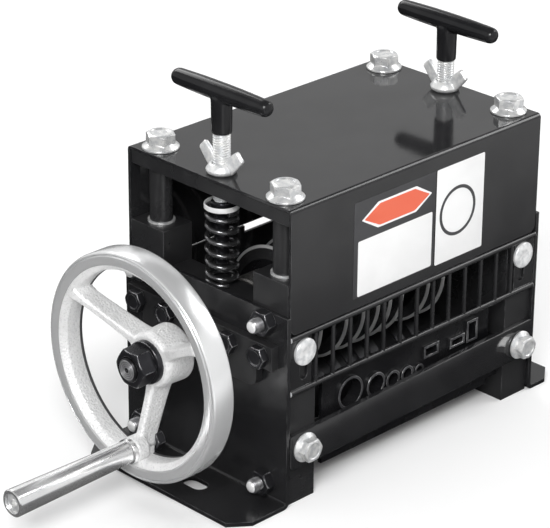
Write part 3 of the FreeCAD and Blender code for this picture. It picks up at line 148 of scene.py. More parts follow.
class Shell:
    """A mesh built up from skins stretched over rows of rings."""

    def __init__(self) -> None:
        """Start an empty mesh."""
        self.mesh = bmesh.new()
        self.place = Matrix.Identity(4)

    def at(self, origin: Sequence[float], axis: Sequence[float] = (0, 0, 1)) -> "Shell":
        """Set the placement of what is added next.

        Args:
            origin: The point that becomes the local origin.
            axis: The direction that becomes the local Z axis.

        Returns:
            The shell itself, so that calls can be chained.
        """
        self.place = axis_frame(origin, axis)
        return self

    def upright(self, y: float) -> "Shell":
        """Stand local X and Y up as X and Z on a face at y, with local Z to the front."""
        self.place = Matrix(((1, 0, 0, 0), (0, 0, -1, y), (0, 1, 0, 0), (0, 0, 0, 1)))
        return self

    def skin(self, rings: Iterable[Ring], loop: bool = False) -> None:
        """Stretch quads over rings of points.

        Args:
            rings: Rings with the same number of points, or with one point where the skin closes.
            loop: Whether the last ring joins the first.
        """
        rows = [[self.mesh.verts.new(self.place @ point) for point in ring] for ring in rings]
        pairs = list(zip(rows, rows[1:]))
        if loop:
            pairs.append((rows[-1], rows[0]))
        for low, high in pairs:
            count = max(len(low), len(high))
            for k in range(count):
                after = (k + 1) % count
                below = (low[k % len(low)], low[after % len(low)])
                above = (high[after % len(high)], high[k % len(high)])
                unique = list(dict.fromkeys(below + above))
                if len(unique) > 2:
                    self.mesh.faces.new(unique)

    def lathe(self, profile: Profile, segments: int = 64, loop: bool = False) -> None:
        """Turn a profile about the local Z axis.

        Args:
            profile: Pairs of (distance along the axis, radius).
            segments: The number of points in each ring.
            loop: Whether the last ring joins the first.
        """
        rings: list[Ring] = []
        for along, radius in profile:
            count = segments if radius > 0 else 1
            rings.append([polar(radius, math.tau * k / segments, along) for k in range(count)])
        self.skin(rings, loop)

    def varied(self, rows: Sequence[Row], segments: int, loop: bool = False) -> None:
        """Skin rings whose distance along the axis and radius change with the angle.

        Args:
            rows: One function per ring, from the angle to (distance along the axis, radius).
            segments: The number of points in each ring.
            loop: Whether the last ring joins the first.
        """
        rings: list[Ring] = []
        for row in rows:
            ring: Ring = []
            for k in range(segments):
                angle = math.tau * k / segments
                along, radius = row(angle)
                ring.append(polar(radius, angle, along))
            rings.append(ring)
        self.skin(rings, loop)

    def tube(self, path: Sequence[Vector], radius: float, segments: int = 16) -> None:
        """Run a round tube with flat ends along a path.

        Args:
            path: The points of its middle line.
            radius: Its radius.
            segments: The number of points in each ring.
        """
        rings: list[Ring] = []
        up = Vector((0, 0, 1))
        for k, point in enumerate(path):
            way = (path[min(k + 1, len(path) - 1)] - path[max(k - 1, 0)]).normalized()
            side = way.cross(up)
            side = side.normalized() if side.length > 1e-3 else Vector((1, 0, 0))
            other = side.cross(way).normalized()
            angles = [math.tau * n / segments for n in range(segments)]
            rings.append([point + (side * math.cos(a) + other * math.sin(a)) * radius for a in angles])
        self.skin([[path[0]]] + rings + [[path[-1]]])

    def plate(self, outline: Sequence[tuple[float, float]], thickness: float, bevel: float = 0.0) -> None:
        """Add a flat plate, thick along local Z.

        Args:
            outline: Its corners in local X and Y.
            thickness: Its thickness.
            bevel: How far the edges of its upper face are broken.
        """
        low = [self.mesh.verts.new(self.place @ Vector((x, y, 0))) for x, y in outline]
        high = [self.mesh.verts.new(self.place @ Vector((x, y, thickness))) for x, y in outline]
        faces = [self.mesh.faces.new(list(reversed(low))), self.mesh.faces.new(high)]
        for k in range(len(outline)):
            after = (k + 1) % len(outline)
            faces.append(self.mesh.faces.new([low[k], low[after], high[after], high[k]]))
        if bevel > 0:
            rim = list(faces[1].edges)
            bmesh.ops.bevel(self.mesh, geom=rim, offset=bevel, segments=2, profile=0.5, affect="EDGES")

    def finish(self, name: str, sharp: float = 32.0) -> bpy.types.Object:
        """Close the mesh and return it as an object.

        Args:
            name: The piece's name.
            sharp: The angle in degrees above which an edge is shaded sharp.

        Returns:
            The new object, linked to the scene.
        """
        bmesh.ops.recalc_face_normals(self.mesh, faces=self.mesh.faces)
        data = bpy.data.meshes.new(name)
        self.mesh.to_mesh(data)
        self.mesh.free()
        data.shade_smooth()
        data.set_sharp_from_angle(angle=math.radians(sharp))
        return linked(name, data)


def melted(solid: bpy.types.Object, name: str, grain: float, passes: int) -> bpy.types.Object:
    """Join the overlapping bodies of a mesh into one skin with rounded inside corners.

    Args:
        solid: The object whose closed bodies overlap. It is used up.
        name: The name of the new piece.
        grain: The size of the grid that the skin is drawn on.
        passes: How often the skin is smoothed.

    Returns:
        The new object.
    """
    remesh = solid.modifiers.new("join", "REMESH")
    remesh.mode = "VOXEL"
    remesh.voxel_size = grain
    remesh.use_smooth_shade = True
    smooth = solid.modifiers.new("soften", "SMOOTH")
    smooth.factor = 0.6
    smooth.iterations = passes
    bpy.context.view_layer.update()
    seen = solid.evaluated_get(bpy.context.evaluated_depsgraph_get())
    data = bpy.data.meshes.new_from_object(seen)
    data.name = name
    data.materials.clear()
    data.shade_smooth()
    bpy.data.objects.remove(solid)
    return linked(name, data)


# Shader making


class Graph:
    """A short hand for placing and linking shader nodes."""

    def __init__(self, tree: bpy.types.NodeTree) -> None:
        """Work in one node tree."""
        self.tree = tree

    def add(self, kind: str, inputs: dict[Any, Any] | None = None, **settings: Any) -> bpy.types.Node:
        """Place a node.

        Args:
            kind: The node's type name.
            inputs: Values or sockets for its inputs, by name or number.
            settings: Attributes of the node.

        Returns:
            The new node.
        """
        node = self.tree.nodes.new(kind)
        for key, value in settings.items():
            setattr(node, key, value)
        for key, value in (inputs or {}).items():
            if isinstance(value, bpy.types.NodeSocket):
                self.tree.links.new(value, node.inputs[key])
            else:
                node.inputs[key].default_value = value
        return node

    def link(self, source: bpy.types.NodeSocket, target: bpy.types.NodeSocket) -> None:
        """Join an output to an input."""
        self.tree.links.new(source, target)

    def group(self, tree: bpy.types.NodeTree, inputs: dict[Any, Any] | None = None) -> bpy.types.Node:
        """Place a node group with values for its inputs."""
        return self.add("ShaderNodeGroup", inputs, node_tree=tree)

    def math(self, operation: str, first: Any, second: Any = 0.0) -> bpy.types.NodeSocket:
        """Return the result of a sum on two numbers or sockets."""
        return self.add("ShaderNodeMath", {0: first, 1: second}, operation=operation).outputs[0]

    def range(self, value: Any, low: Any, high: Any, out_low: float, out_high: float) -> bpy.types.NodeSocket:
        """Return a value mapped smoothly from one range to another."""
        inputs = {"Value": value, "From Min": low, "From Max": high, "To Min": out_low, "To Max": out_high}
        return self.add("ShaderNodeMapRange", inputs, interpolation_type="SMOOTHSTEP").outputs["Result"]

    def place(self) -> bpy.types.NodeSocket:
        """Return the place on the object, in its own space."""
        return self.add("ShaderNodeTexCoord").outputs["Object"]

    def noise(self, scale: float, detail: float = 2.0) -> bpy.types.NodeSocket:
        """Return a noise value in object space."""
        inputs = {"Vector": self.place(), "Scale": scale, "Detail": detail}
        return self.add("ShaderNodeTexNoise", inputs).outputs[0]

    def radius(self, height: Any) -> bpy.types.NodeSocket:
        """Return the distance from an axis along X at a height.

        Args:
            height: The axis' height, a number or socket.

        Returns:
            The socket of the distance.
        """
        parts = self.add("ShaderNodeSeparateXYZ", {0: self.place()})
        rise = self.math("SUBTRACT", parts.outputs["Z"], height)
        side = self.math("MULTIPLY", parts.outputs["Y"], parts.outputs["Y"])
        return self.math("SQRT", self.math("ADD", self.math("MULTIPLY", rise, rise), side))

    def blend(self, factor: Any, first: Any, second: Any) -> bpy.types.NodeSocket:
        """Return a number mixed from two numbers or sockets."""
        return self.add("ShaderNodeMix", {0: factor, 2: first, 3: second}, data_type="FLOAT").outputs[0]

    def mix(self, factor: Any, first: Any, second: Any) -> bpy.types.NodeSocket:
        """Return a colour mixed from two.

        Args:
            factor: A number or socket, 0 for the first colour and 1 for the second.
            first: A colour or colour socket.
            second: A colour or colour socket.

        Returns:
            The socket of the mixed colour.
        """
        ends = {number: value if isinstance(value, bpy.types.NodeSocket) else (*value, 1.0)
                for number, value in ((6, first), (7, second))}
        return self.add("ShaderNodeMix", {0: factor, **ends}, data_type="RGBA").outputs[2]


class Effects:
    """The shader node groups that several materials share, each built once."""

    _built: dict[str, bpy.types.NodeTree] = {}

    @classmethod
    def _shared(cls, name: str, inputs: dict[str, Any], outputs: dict[str, Any],
                fill: Callable[[Graph, Any], dict[str, Any]]) -> bpy.types.NodeTree:
        """Return a node group, built at its first use.

        Args:
            name: The group's name.
            inputs: The first value of each input. A tuple makes it a vector.
            outputs: A value of the same kind for each output.
            fill: Places the nodes between the inputs' sockets and the sockets that leave the group.

        Returns:
            The group.
        """
        if name in cls._built:
            return cls._built[name]
        tree = bpy.data.node_groups.new(name, "ShaderNodeTree")
        for way, sockets in (("INPUT", inputs), ("OUTPUT", outputs)):
            for socket, value in sockets.items():
                kind = "NodeSocketVector" if isinstance(value, tuple) else "NodeSocketFloat"
                made = tree.interface.new_socket(name=socket, in_out=way, socket_type=kind)
                made.default_value = value
        graph = Graph(tree)
        end = graph.add("NodeGroupOutput")
        for socket, source in fill(graph, graph.add("NodeGroupInput").outputs).items():
            graph.link(source, end.inputs[socket])
        cls._built[name] = tree
        return tree

    @staticmethod
    def _edges_in_patches(graph: Graph, given: Any) -> dict[str, Any]:
        """Find edges where a rounded normal leans away from the flat one, broken into patches.

        Args:
            graph: The group's nodes.
            given: The sockets of its inputs.

        Returns:
            The socket for each output.
        """
        bevel = graph.add("ShaderNodeBevel", {"Radius": given["Radius"]}, samples=4)
        flat = graph.add("ShaderNodeNewGeometry").outputs["Normal"]
        turn = graph.add("ShaderNodeVectorMath", {0: bevel.outputs[0], 1: flat}, operation="DOT_PRODUCT")
        bend = graph.math("SUBTRACT", 1.0, turn.outputs["Value"])
        edge = graph.range(bend, 0.015, 0.14, 0.0, 1.0)
        edge_parts = graph.range(graph.noise(given["Patches"], 4.0), 0.42, 0.62, 0.0, 1.0)
        return {"Edge": graph.math("MULTIPLY", edge, edge_parts), "Normal": bevel.outputs[0]}

    @staticmethod
    def _smudges(graph: Graph, given: Any) -> dict[str, Any]:
        """Spread broad, slightly twisted clouds.

        Args:
            graph: The group's nodes.
            given: The sockets of its inputs.

        Returns:
            The socket for each output.
        """
        inputs = {"Vector": graph.place(), "Scale": given["Scale"], "Detail": 5.0, "Roughness": 0.62,
                  "Distortion": 0.6}
        broad = graph.add("ShaderNodeTexNoise", inputs)
        return {"Smudge": graph.range(broad.outputs[0], 0.35, 0.68, 0.0, 1.0)}

    @staticmethod
    def _far_out(graph: Graph, given: Any) -> dict[str, Any]:
        """Measure the reach along a direction, with both sides of the middle folded together.

        Args:
            graph: The group's nodes.
            given: The sockets of its inputs.

        Returns:
            The socket for each output.
        """
        folded = graph.add("ShaderNodeVectorMath", {0: graph.place()}, operation="ABSOLUTE").outputs["Vector"]
        reach = graph.add("ShaderNodeVectorMath", {0: folded, 1: given["Direction"]}, operation="DOT_PRODUCT")
        return {"Mask": graph.range(reach.outputs["Value"], given["From"], given["To"], 0.0, 1.0)}

    @staticmethod
    def _outside(graph: Graph, given: Any) -> dict[str, Any]:
        """Measure the distance from an axis along X.

        Args:
            graph: The group's nodes.
            given: The sockets of its inputs.

        Returns:
            The socket for each output.
        """
        return {"Mask": graph.range(graph.radius(given["Height"]), given["From"], given["To"], 0.0, 1.0)}

    @staticmethod
    def _rings(graph: Graph, given: Any) -> dict[str, Any]:
        """Run a one-way noise outwards and along the axis.

        Args:
            graph: The group's nodes.
            given: The sockets of its inputs.

        Returns:
            The socket for each output.
        """
        along = graph.add("ShaderNodeSeparateXYZ", {0: graph.place()}).outputs["X"]
        along = graph.math("ADD", graph.radius(given["Height"]), graph.math("MULTIPLY", along, 0.83))
        count = graph.math("DIVIDE", along, given["Pitch"])
        inputs = {"W": count, "Scale": 1.0, "Detail": 2.0}
        return {"Line": graph.add("ShaderNodeTexNoise", inputs, noise_dimensions="1D").outputs[0]}

    @classmethod
    def edge_mask_and_rounding(cls) -> bpy.types.NodeTree:
        """Return the group that finds edges in patches and rounds their normal: Radius and Patches in, Edge
        and Normal out.
        """
        inputs = {"Radius": 0.0005, "Patches": 120.0}
        return cls._shared("edge_mask_and_rounding", inputs, {"Edge": 0.0, "Normal": (0.0, 0.0, 0.0)}, cls._edges_in_patches)

    @classmethod
    def handling(cls) -> bpy.types.NodeTree:
        """Return the group for smudges: Scale in, Smudge out."""
        return cls._shared("handling", {"Scale": 14.0}, {"Smudge": 0.0}, cls._smudges)

    @classmethod
    def slab_mask(cls) -> bpy.types.NodeTree:
        """Return the group that marks what lies far out: Direction, From and To in, Mask out."""
        inputs = {"Direction": ALONG_X, "From": 0.0, "To": 0.001}
        return cls._shared("slab_mask", inputs, {"Mask": 0.0}, cls._far_out)

    @classmethod
    def ring_mask(cls) -> bpy.types.NodeTree:
        """Return the group that marks what lies outside a radius: Height, From and To in, Mask out."""
        inputs = {"Height": SHAFT_Z, "From": 0.0, "To": 0.001}
        return cls._shared("ring_mask", inputs, {"Mask": 0.0}, cls._outside)

    @classmethod
    def turned_lines(cls) -> bpy.types.NodeTree:
        """Return the group for the rings that a lathe leaves: Height and Pitch in, Line out."""
        return cls._shared("turned_lines", {"Height": SHAFT_Z, "Pitch": 0.0006}, {"Line": 0.0}, cls._rings)


class Measure(Enum):
    """What a zone of a surface is told by."""

    OUTWARD = "how far out it lies along a direction"
    RADIUS = "how far it lies from an axis along X"


@dataclass(frozen=True)
class Zone:
    """A part of a surface that is finished otherwise, such as a cut end or a ground bevel, or a band of
    painted highlight.
    """

    measure: Measure
    start: float
    end: float
    colour: Colour
    metallic: float
    roughness: float
    direction: tuple[float, float, float] = ALONG_X
    height: float = SHAFT_Z
    edges_only: bool = False

    def mask(self, graph: Graph) -> bpy.types.NodeSocket:
        """Return the socket that is 1 in the zone and 0 outside it.

        Args:
            graph: The material's nodes.

        Returns:
            The mask's socket.
        """
        limits = {"From": self.start, "To": self.end}
        if self.measure is Measure.OUTWARD:
            return graph.group(Effects.slab_mask(), {**limits, "Direction": self.direction}).outputs["Mask"]
        return graph.group(Effects.ring_mask(), {**limits, "Height": self.height}).outputs["Mask"]


@dataclass(frozen=True)
class Finish:
    """One surface finish: its constants, and how far its detail goes."""

    name: str
    colour: Colour
    metallic: float = 0.0
    roughness: float = 0.3
    spread: float = 0.08
    specular: float = 0.5
    bump: float = 0.05
    bump_scale: float = 400.0
    tint: Colour | None = None
    tint_scale: float = 30.0
    edge_light_shade_wear: float = 0.0
    edge_light_shade_wear_colour: Colour = (0.30, 0.30, 0.31)
    edge_radius: float = 0.0005
    soft_edges: bool = True
    zones: tuple[Zone, ...] = ()

    def detail(self, graph: Graph) -> tuple[Any, Any, Any]:
        """Make the finish vary over the surface.

        Args:
            graph: The material's nodes.

        Returns:
            The sockets for colour, roughness and height.
        """
        smudge = graph.group(Effects.handling()).outputs["Smudge"]
        other = self.tint or tuple(min(1.0, channel * 1.18 + 0.002) for channel in self.colour)
        shade = graph.range(graph.noise(self.tint_scale, 3.0), 0.35, 0.65, 0.0, 1.0)
        colour = graph.mix(shade, self.colour, other)
        roughness = graph.math("ADD", graph.math("MULTIPLY", smudge, self.spread), self.roughness)
        return colour, roughness, graph.noise(self.bump_scale, 3.0)

    def material(self) -> bpy.types.Material:
        """Build the material, or return it where it has been built already.

        Returns:
            The material.
        """
        found = bpy.data.materials.get("finish_" + self.name)
        if found:
            return found
        material = bpy.data.materials.new("finish_" + self.name)
        material.use_nodes = True
        graph = Graph(material.node_tree)
        shader = material.node_tree.nodes["Principled BSDF"]
        shader.inputs["Metallic"].default_value = self.metallic
        shader.inputs["Specular IOR Level"].default_value = self.specular
        colour, roughness, height = self.detail(graph)
        metallic: Any = self.metallic
        edge_parts = graph.group(Effects.edge_mask_and_rounding(), {"Radius": self.edge_radius}).outputs
        for zone in self.zones:
            mask = zone.mask(graph)
            if zone.edges_only:
                mask = graph.math("MULTIPLY", mask, edge_parts["Edge"])
            colour = graph.mix(mask, colour, zone.colour)
            roughness = graph.blend(mask, roughness, zone.roughness)
            metallic = graph.blend(mask, metallic, zone.metallic)
        if self.zones:
            graph.link(metallic, shader.inputs["Metallic"])
        # Painted edge light and shade: on dark finishes the edges turn lighter, partly worn paint or metal
        # and partly a painted edge highlight; on zinc they turn darker, a painted shade line in creases and
        # around outlines.
        if self.edge_light_shade_wear > 0:
            colour = graph.mix(graph.math("MULTIPLY", edge_parts["Edge"], self.edge_light_shade_wear), colour, self.edge_light_shade_wear_colour)
        graph.link(colour, shader.inputs["Base Color"])
        graph.link(roughness, shader.inputs["Roughness"])
        bump = graph.add("ShaderNodeBump", {"Height": height, "Strength": self.bump, "Distance": 0.0004})
        if self.edge_light_shade_wear > 0 or self.soft_edges:
            graph.link(edge_parts["Normal"], bump.inputs["Normal"])
        graph.link(bump.outputs[0], shader.inputs["Normal"])
        return material


@dataclass(frozen=True)
class TurnedFinish(Finish):
    """Metal turned on a lathe about an axis along X."""

    height: float = SHAFT_Z
    pitch: float = 0.0006

    def detail(self, graph: Graph) -> tuple[Any, Any, Any]:
        """Add the rings that the tool leaves to the plain finish.

        Args:
            graph: The material's nodes.

        Returns:
            The sockets for colour, roughness and height.
        """
        colour, roughness, _ = super().detail(graph)
        inputs = {"Height": self.height, "Pitch": self.pitch}
        line = graph.group(Effects.turned_lines(), inputs).outputs["Line"]
        roughness = graph.math("ADD", roughness, graph.math("MULTIPLY", line, 0.10))
        return colour, roughness, line


@dataclass(frozen=True)
class WheelFinish(Finish):
    """Cast alloy: machined and polished on the rim, left as cast on spokes, hub and inside the rim."""

    cast_colour: Colour = (0.86, 0.86, 0.86)
    pit_colour: Colour = (0.56, 0.56, 0.57)
    pit_scale: float = 620.0
    machined_from: float = 0.0708

    def detail(self, graph: Graph) -> tuple[Any, Any, Any]:
        """Make pebbled cast skin inside the rim, and rubbed turning marks on it.

        Args:
            graph: The material's nodes.

        Returns:
            The sockets for colour, roughness and height.
        """
        limits = {"From": self.machined_from - 0.0003, "To": self.machined_from + 0.0001}
        machined = graph.group(Effects.ring_mask(), limits).outputs["Mask"]
        rings = graph.group(Effects.turned_lines(), {"Pitch": 0.0009}).outputs["Line"]
        smudge = graph.group(Effects.handling(), {"Scale": 22.0}).outputs["Smudge"]
        grain = graph.noise(self.pit_scale, 4.0)
        cells = {"Vector": graph.place(), "Scale": self.pit_scale}
        pits = graph.add("ShaderNodeTexVoronoi", cells).outputs["Distance"]
        deep = graph.range(pits, 0.10, 0.50, 1.0, 0.0)
        pitted = graph.math("MULTIPLY", deep, graph.range(grain, 0.36, 0.60, 0.0, 1.0))
        patches = graph.range(graph.noise(60.0, 3.0), 0.35, 0.65, 0.0, 1.0)
        mottled = graph.mix(patches, self.cast_colour, tuple(c * 0.90 for c in self.cast_colour))
        cast = graph.mix(graph.math("MULTIPLY", pitted, 0.75), mottled, self.pit_colour)
        marks = graph.range(rings, 0.35, 0.65, 0.0, 0.24)
        bright = graph.mix(marks, self.colour, tuple(c * 0.78 for c in self.colour))
        colour = graph.mix(machined, cast, bright)
        cast_rough = graph.math("ADD", graph.math("MULTIPLY", grain, 0.20), 0.34)
        rubbed = graph.math("ADD", graph.math("MULTIPLY", smudge, 0.06), self.roughness)
        bright_rough = graph.math("ADD", graph.math("MULTIPLY", rings, 0.12), rubbed)
        cast_height = graph.math("ADD", grain, graph.math("MULTIPLY", pits, 0.8))
        height = graph.blend(machined, cast_height, graph.math("MULTIPLY", rings, 0.06))
        return colour, graph.blend(machined, cast_rough, bright_rough), height


# The black finishes' lighter edge colour is partly worn paint and partly a painted edge highlight.
GLOSS_BLACK = Finish("gloss_black", (0.013, 0.013, 0.014), roughness=0.07, spread=0.05, bump=0.02,
                     bump_scale=260.0, tint=(0.018, 0.018, 0.019), edge_light_shade_wear=0.25, edge_radius=0.0008)
PLATE_BLACK = Finish("plate_black", (0.012, 0.012, 0.013), roughness=0.17, spread=0.08, bump=0.03,
                     bump_scale=300.0, tint=(0.017, 0.017, 0.018), edge_light_shade_wear=0.25, edge_radius=0.0008)
SATIN_BLACK = Finish("satin_black", (0.016, 0.016, 0.017), roughness=0.26, spread=0.10, bump=0.10,
                     bump_scale=700.0, tint=(0.023, 0.023, 0.024), edge_light_shade_wear=0.30, edge_radius=0.0007)
PANEL_BLACK = Finish("panel_black", (0.006, 0.006, 0.007), roughness=0.20, spread=0.10, bump=0.04,
                     bump_scale=400.0, tint=(0.010, 0.010, 0.011), edge_light_shade_wear=0.15, edge_radius=0.0006,
                     # The rims of the feed holes are grey, and their edges are coloured bright as a painted
                     # highlight, the thin bright outline they catch.
                     zones=(Zone(Measure.OUTWARD, 0.0716, 0.0718, (0.085, 0.085, 0.09), 0.5, 0.30,
                                 ALONG_Y),
                            Zone(Measure.OUTWARD, 0.0716, 0.0718, (0.82, 0.82, 0.83), 0.4, 0.30,
                                 ALONG_Y, edges_only=True)))
DARK_STEEL = Finish("dark_steel", (0.010, 0.010, 0.011), roughness=0.20, spread=0.12, bump=0.08,
                    bump_scale=900.0, tint=(0.016, 0.016, 0.017), edge_light_shade_wear=0.45, edge_light_shade_wear_colour=(0.45, 0.45, 0.46),
                    edge_radius=0.0005,
                    zones=(Zone(Measure.OUTWARD, 0.12155, 0.12162, (0.85, 0.85, 0.86), 0.5, 0.35),))
# The zinc finishes' dark edge colour is painted shade: dark lines in thread roots and creases and around the
# outlines.
ZINC = Finish("zinc", (0.88, 0.88, 0.87), metallic=0.58, roughness=0.20, spread=0.16, bump=0.16,
              bump_scale=700.0, tint=(0.64, 0.65, 0.66), tint_scale=240.0, edge_light_shade_wear=0.85,
              edge_light_shade_wear_colour=(0.15, 0.15, 0.16), edge_radius=0.0007)
SCREW_ZINC = Finish("screw_zinc", (0.86, 0.86, 0.85), metallic=0.50, roughness=0.24, spread=0.14, bump=0.10,
                    bump_scale=800.0, tint=(0.72, 0.73, 0.74), tint_scale=160.0, edge_light_shade_wear=0.8,
                    edge_light_shade_wear_colour=(0.14, 0.14, 0.15), edge_radius=0.0004)
CAST_ZINC = Finish("cast_zinc", (0.86, 0.86, 0.85), metallic=0.40, roughness=0.28, spread=0.16, bump=0.35,
                   bump_scale=460.0, tint=(0.66, 0.67, 0.68), tint_scale=260.0, edge_light_shade_wear=0.8,
                   edge_light_shade_wear_colour=(0.20, 0.20, 0.21), edge_radius=0.0007)
DISC_ZINC = Finish("disc_zinc", (0.86, 0.86, 0.86), metallic=0.35, roughness=0.34, spread=0.14, bump=0.18,
                   bump_scale=420.0, tint=(0.60, 0.61, 0.62), tint_scale=260.0, edge_light_shade_wear=0.7,
                   edge_light_shade_wear_colour=(0.18, 0.18, 0.19), edge_radius=0.0006)
# Black oxide: the bright edge colour is partly worn metal and partly a painted edge highlight.
BLACK_OXIDE = Finish("black_oxide", (0.030, 0.030, 0.034), metallic=0.75, roughness=0.24, spread=0.14,
                     bump=0.12, bump_scale=900.0, tint=(0.05, 0.05, 0.055), edge_light_shade_wear=1.0,
                     edge_light_shade_wear_colour=(0.90, 0.90, 0.92), edge_radius=0.0010)
SPRING_STEEL = Finish("spring_steel", (0.15, 0.15, 0.155), metallic=0.9, roughness=0.13, spread=0.12,
                      bump=0.06, bump_scale=700.0, tint=(0.20, 0.20, 0.205), tint_scale=90.0)
# Dark steel that is painted shade, used for the washer's seat and the screw's pilot; its bright edge colour
# is partly a painted highlight.
SHADE_PAINTED_STEEL = Finish("shade_painted_steel", (0.030, 0.030, 0.034), metallic=0.8, roughness=0.16, spread=0.12,
                      bump=0.06, bump_scale=700.0, edge_light_shade_wear=0.8, edge_light_shade_wear_colour=(0.75, 0.75, 0.76),
                      edge_radius=0.0008)
CUP_STEEL = Finish("cup_steel", (0.92, 0.92, 0.91), metallic=0.25, roughness=0.28, spread=0.12, bump=0.08,
                   bump_scale=700.0, tint=(0.76, 0.76, 0.76), edge_radius=0.0004)
BLACK_PLASTIC = Finish("black_plastic", (0.009, 0.009, 0.010), roughness=0.13, spread=0.08, specular=0.26,
                       bump=0.02, bump_scale=400.0, tint=(0.014, 0.014, 0.015), soft_edges=False)
BRONZE = TurnedFinish("bronze", (0.56, 0.36, 0.16), metallic=1.0, roughness=0.28, bump=0.10)
# Blade steel: the faces are coloured near black, painted shade for the shadow under the cover; the bevel ring
# from r 35.2 mm is dark grey, and the band from r 42.1 mm out is bright, a painted highlight for the glint on
# the bevels.
BLADE_STEEL = TurnedFinish("blade_steel", (0.016, 0.016, 0.018), metallic=0.6, roughness=0.16, spread=0.12,
                           bump=0.10, pitch=0.0004, edge_light_shade_wear=0.5, edge_light_shade_wear_colour=(0.9, 0.9, 0.9),
                           zones=(Zone(Measure.RADIUS, 0.0352, 0.0355, (0.14, 0.14, 0.145), 0.85, 0.22),
                                  Zone(Measure.RADIUS, 0.0421, 0.0428, (0.72, 0.72, 0.72), 0.30, 0.30)))
TURNED_STEEL = TurnedFinish("turned_steel", (0.50, 0.49, 0.48), metallic=0.9, roughness=0.14, spread=0.12,
                            bump=0.16, tint=(0.36, 0.35, 0.34), pitch=0.0007,
                            zones=(Zone(Measure.OUTWARD, 0.1758, 0.1762, (0.035, 0.035, 0.037), 0.8, 0.30),
                                   Zone(Measure.OUTWARD, 0.1949, 0.19498, (0.26, 0.26, 0.27), 0.8, 0.30)))
# The bright edge colour on the shaft's end is partly worn metal and partly a painted edge highlight.
SHAFT_END = TurnedFinish("shaft_end", (0.42, 0.42, 0.43), metallic=0.75, roughness=0.26, bump=0.16,
                         edge_light_shade_wear=0.6, edge_light_shade_wear_colour=(0.8, 0.8, 0.8))
ROLLER_STEEL = TurnedFinish("roller_steel", (0.030, 0.030, 0.032), metallic=0.8, roughness=0.34,
                            spread=0.14, bump=0.16, height=ROLLER_Z, pitch=0.0007)
WHEEL_ALLOY = WheelFinish("wheel_alloy", (0.86, 0.865, 0.87), metallic=0.30, roughness=0.24, bump=1.0,
                          edge_radius=0.0010,
                          zones=(Zone(Measure.RADIUS, 0.0705, 0.0709, (0.84, 0.845, 0.85), 0.66, 0.24),))
# A dark band inside the rim, painted shade for the shadow at the rim's inner rear edge.
RIM_PAINTED_SHADE = TurnedFinish("rim_painted_shade", (0.085, 0.085, 0.088), metallic=0.5, roughness=0.36, bump=0.20)
STUD_ZINC = Finish("stud_zinc", (0.46, 0.46, 0.47), metallic=0.85, roughness=0.26, spread=0.16, bump=0.10,
                   bump_scale=800.0, tint=(0.24, 0.24, 0.25), tint_scale=220.0, edge_radius=0.0003,
                   zones=(Zone(Measure.OUTWARD, 0.1393, 0.1396, (0.88, 0.88, 0.88), 0.4, 0.30),))
GRIP_CHROME = TurnedFinish("grip_chrome", (0.90, 0.90, 0.91), metallic=0.88, roughness=0.13, spread=0.08,
                           bump=0.015, height=CRANK_Z, pitch=0.0011)
LABEL_WHITE = Finish("label_white", (0.83, 0.83, 0.83), roughness=0.42, spread=0.10, bump=0.03,
                     tint=(0.79, 0.79, 0.79), soft_edges=False)
LABEL_ORANGE = Finish("label_orange", (0.72, 0.13, 0.065), roughness=0.42, spread=0.10, bump=0.03,
                      tint=(0.72, 0.12, 0.06), soft_edges=False)
LABEL_GREY = Finish("label_grey", (0.045, 0.045, 0.048), roughness=0.40, spread=0.10, bump=0.03,
                    soft_edges=False)


class Slot(Enum):
    """The material slots."""

    BLACK_STEEL = "black_steel"
    BLACK_GLOSS = "black_gloss"
    GUARD_STEEL = "guard_steel"
    ZINC = "zinc"
    BLACK_OXIDE = "black_oxide"
    SPRING_STEEL = "spring_steel"
    BLACK_PLASTIC = "black_plastic"
    BRONZE = "bronze"
    BLADE_STEEL = "blade_steel"
    TURNED_STEEL = "turned_steel"
    WHEEL_ALLOY = "wheel_alloy"
    GRIP_CHROME = "grip_chrome"


NODE_FINISHES: dict[Finish, tuple[str, ...]] = {
    GLOSS_BLACK: ("top_cover", "rear_lower_plate", "rear_guard"),
    PLATE_BLACK: ("left_end_plate", "right_end_plate"),
    PANEL_BLACK: ("feed_panel",),
    SATIN_BLACK: ("front_left_post", "front_right_post", "rear_left_post", "rear_right_post", "top_plate",
                  "bearing_keepers", "left_bearing_block", "right_bearing_block", "lower_blocks",
                  "post_spacers"),
    DARK_STEEL: ("front_guard",),
    BLACK_OXIDE: ("grub_screws", "wheel_key", "wheel_washer", "crank_nut"),
    ZINC: ("spacer_washers",),
    BRONZE: ("shaft_bushes", "roller_bushes"),
    BLADE_STEEL: tuple("round_blade_%d" % n for n in range(1, 9)),
    TURNED_STEEL: ("blade_shaft", "blade_spacers", "clamp_collars"),
    ROLLER_STEEL: ("roller_shaft", "grooved_roller"),
    GRIP_CHROME: ("crank_grip", "crank_collar"),
}


def dress(frame: dict[str, Any], node: str, finish: Finish) -> None:
    """Give a carried-over node its finish.

    Args:
        node: The node's name.
        finish: Its finish.
    """
    for slot in frame["nodes"][node].material_slots:
        slot.material = finish.material()
    LOG.info("dressed %s in %s", node, finish.name)


def place(piece: bpy.types.Object, body: str, slot: Slot, finish: Finish,
          replaces: Sequence[str] = ()) -> bpy.types.Object:
    """Finish a new piece and let it ride.

    Args:
        piece: The piece, in place.
        body: The body that it moves with, or "" where it is left unattached.
        slot: The material slot of its finish; not used.
        finish: Its finish.
        replaces: The nodes that it stands for.

    Returns:
        The piece.
    """
    piece.data.materials.append(finish.material())
    if body:
        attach(piece, body)
    if replaces:
        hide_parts(*replaces)
    LOG.info("made %s: %d faces", piece.name, len(piece.data.polygons))
    return piece


# Fasteners


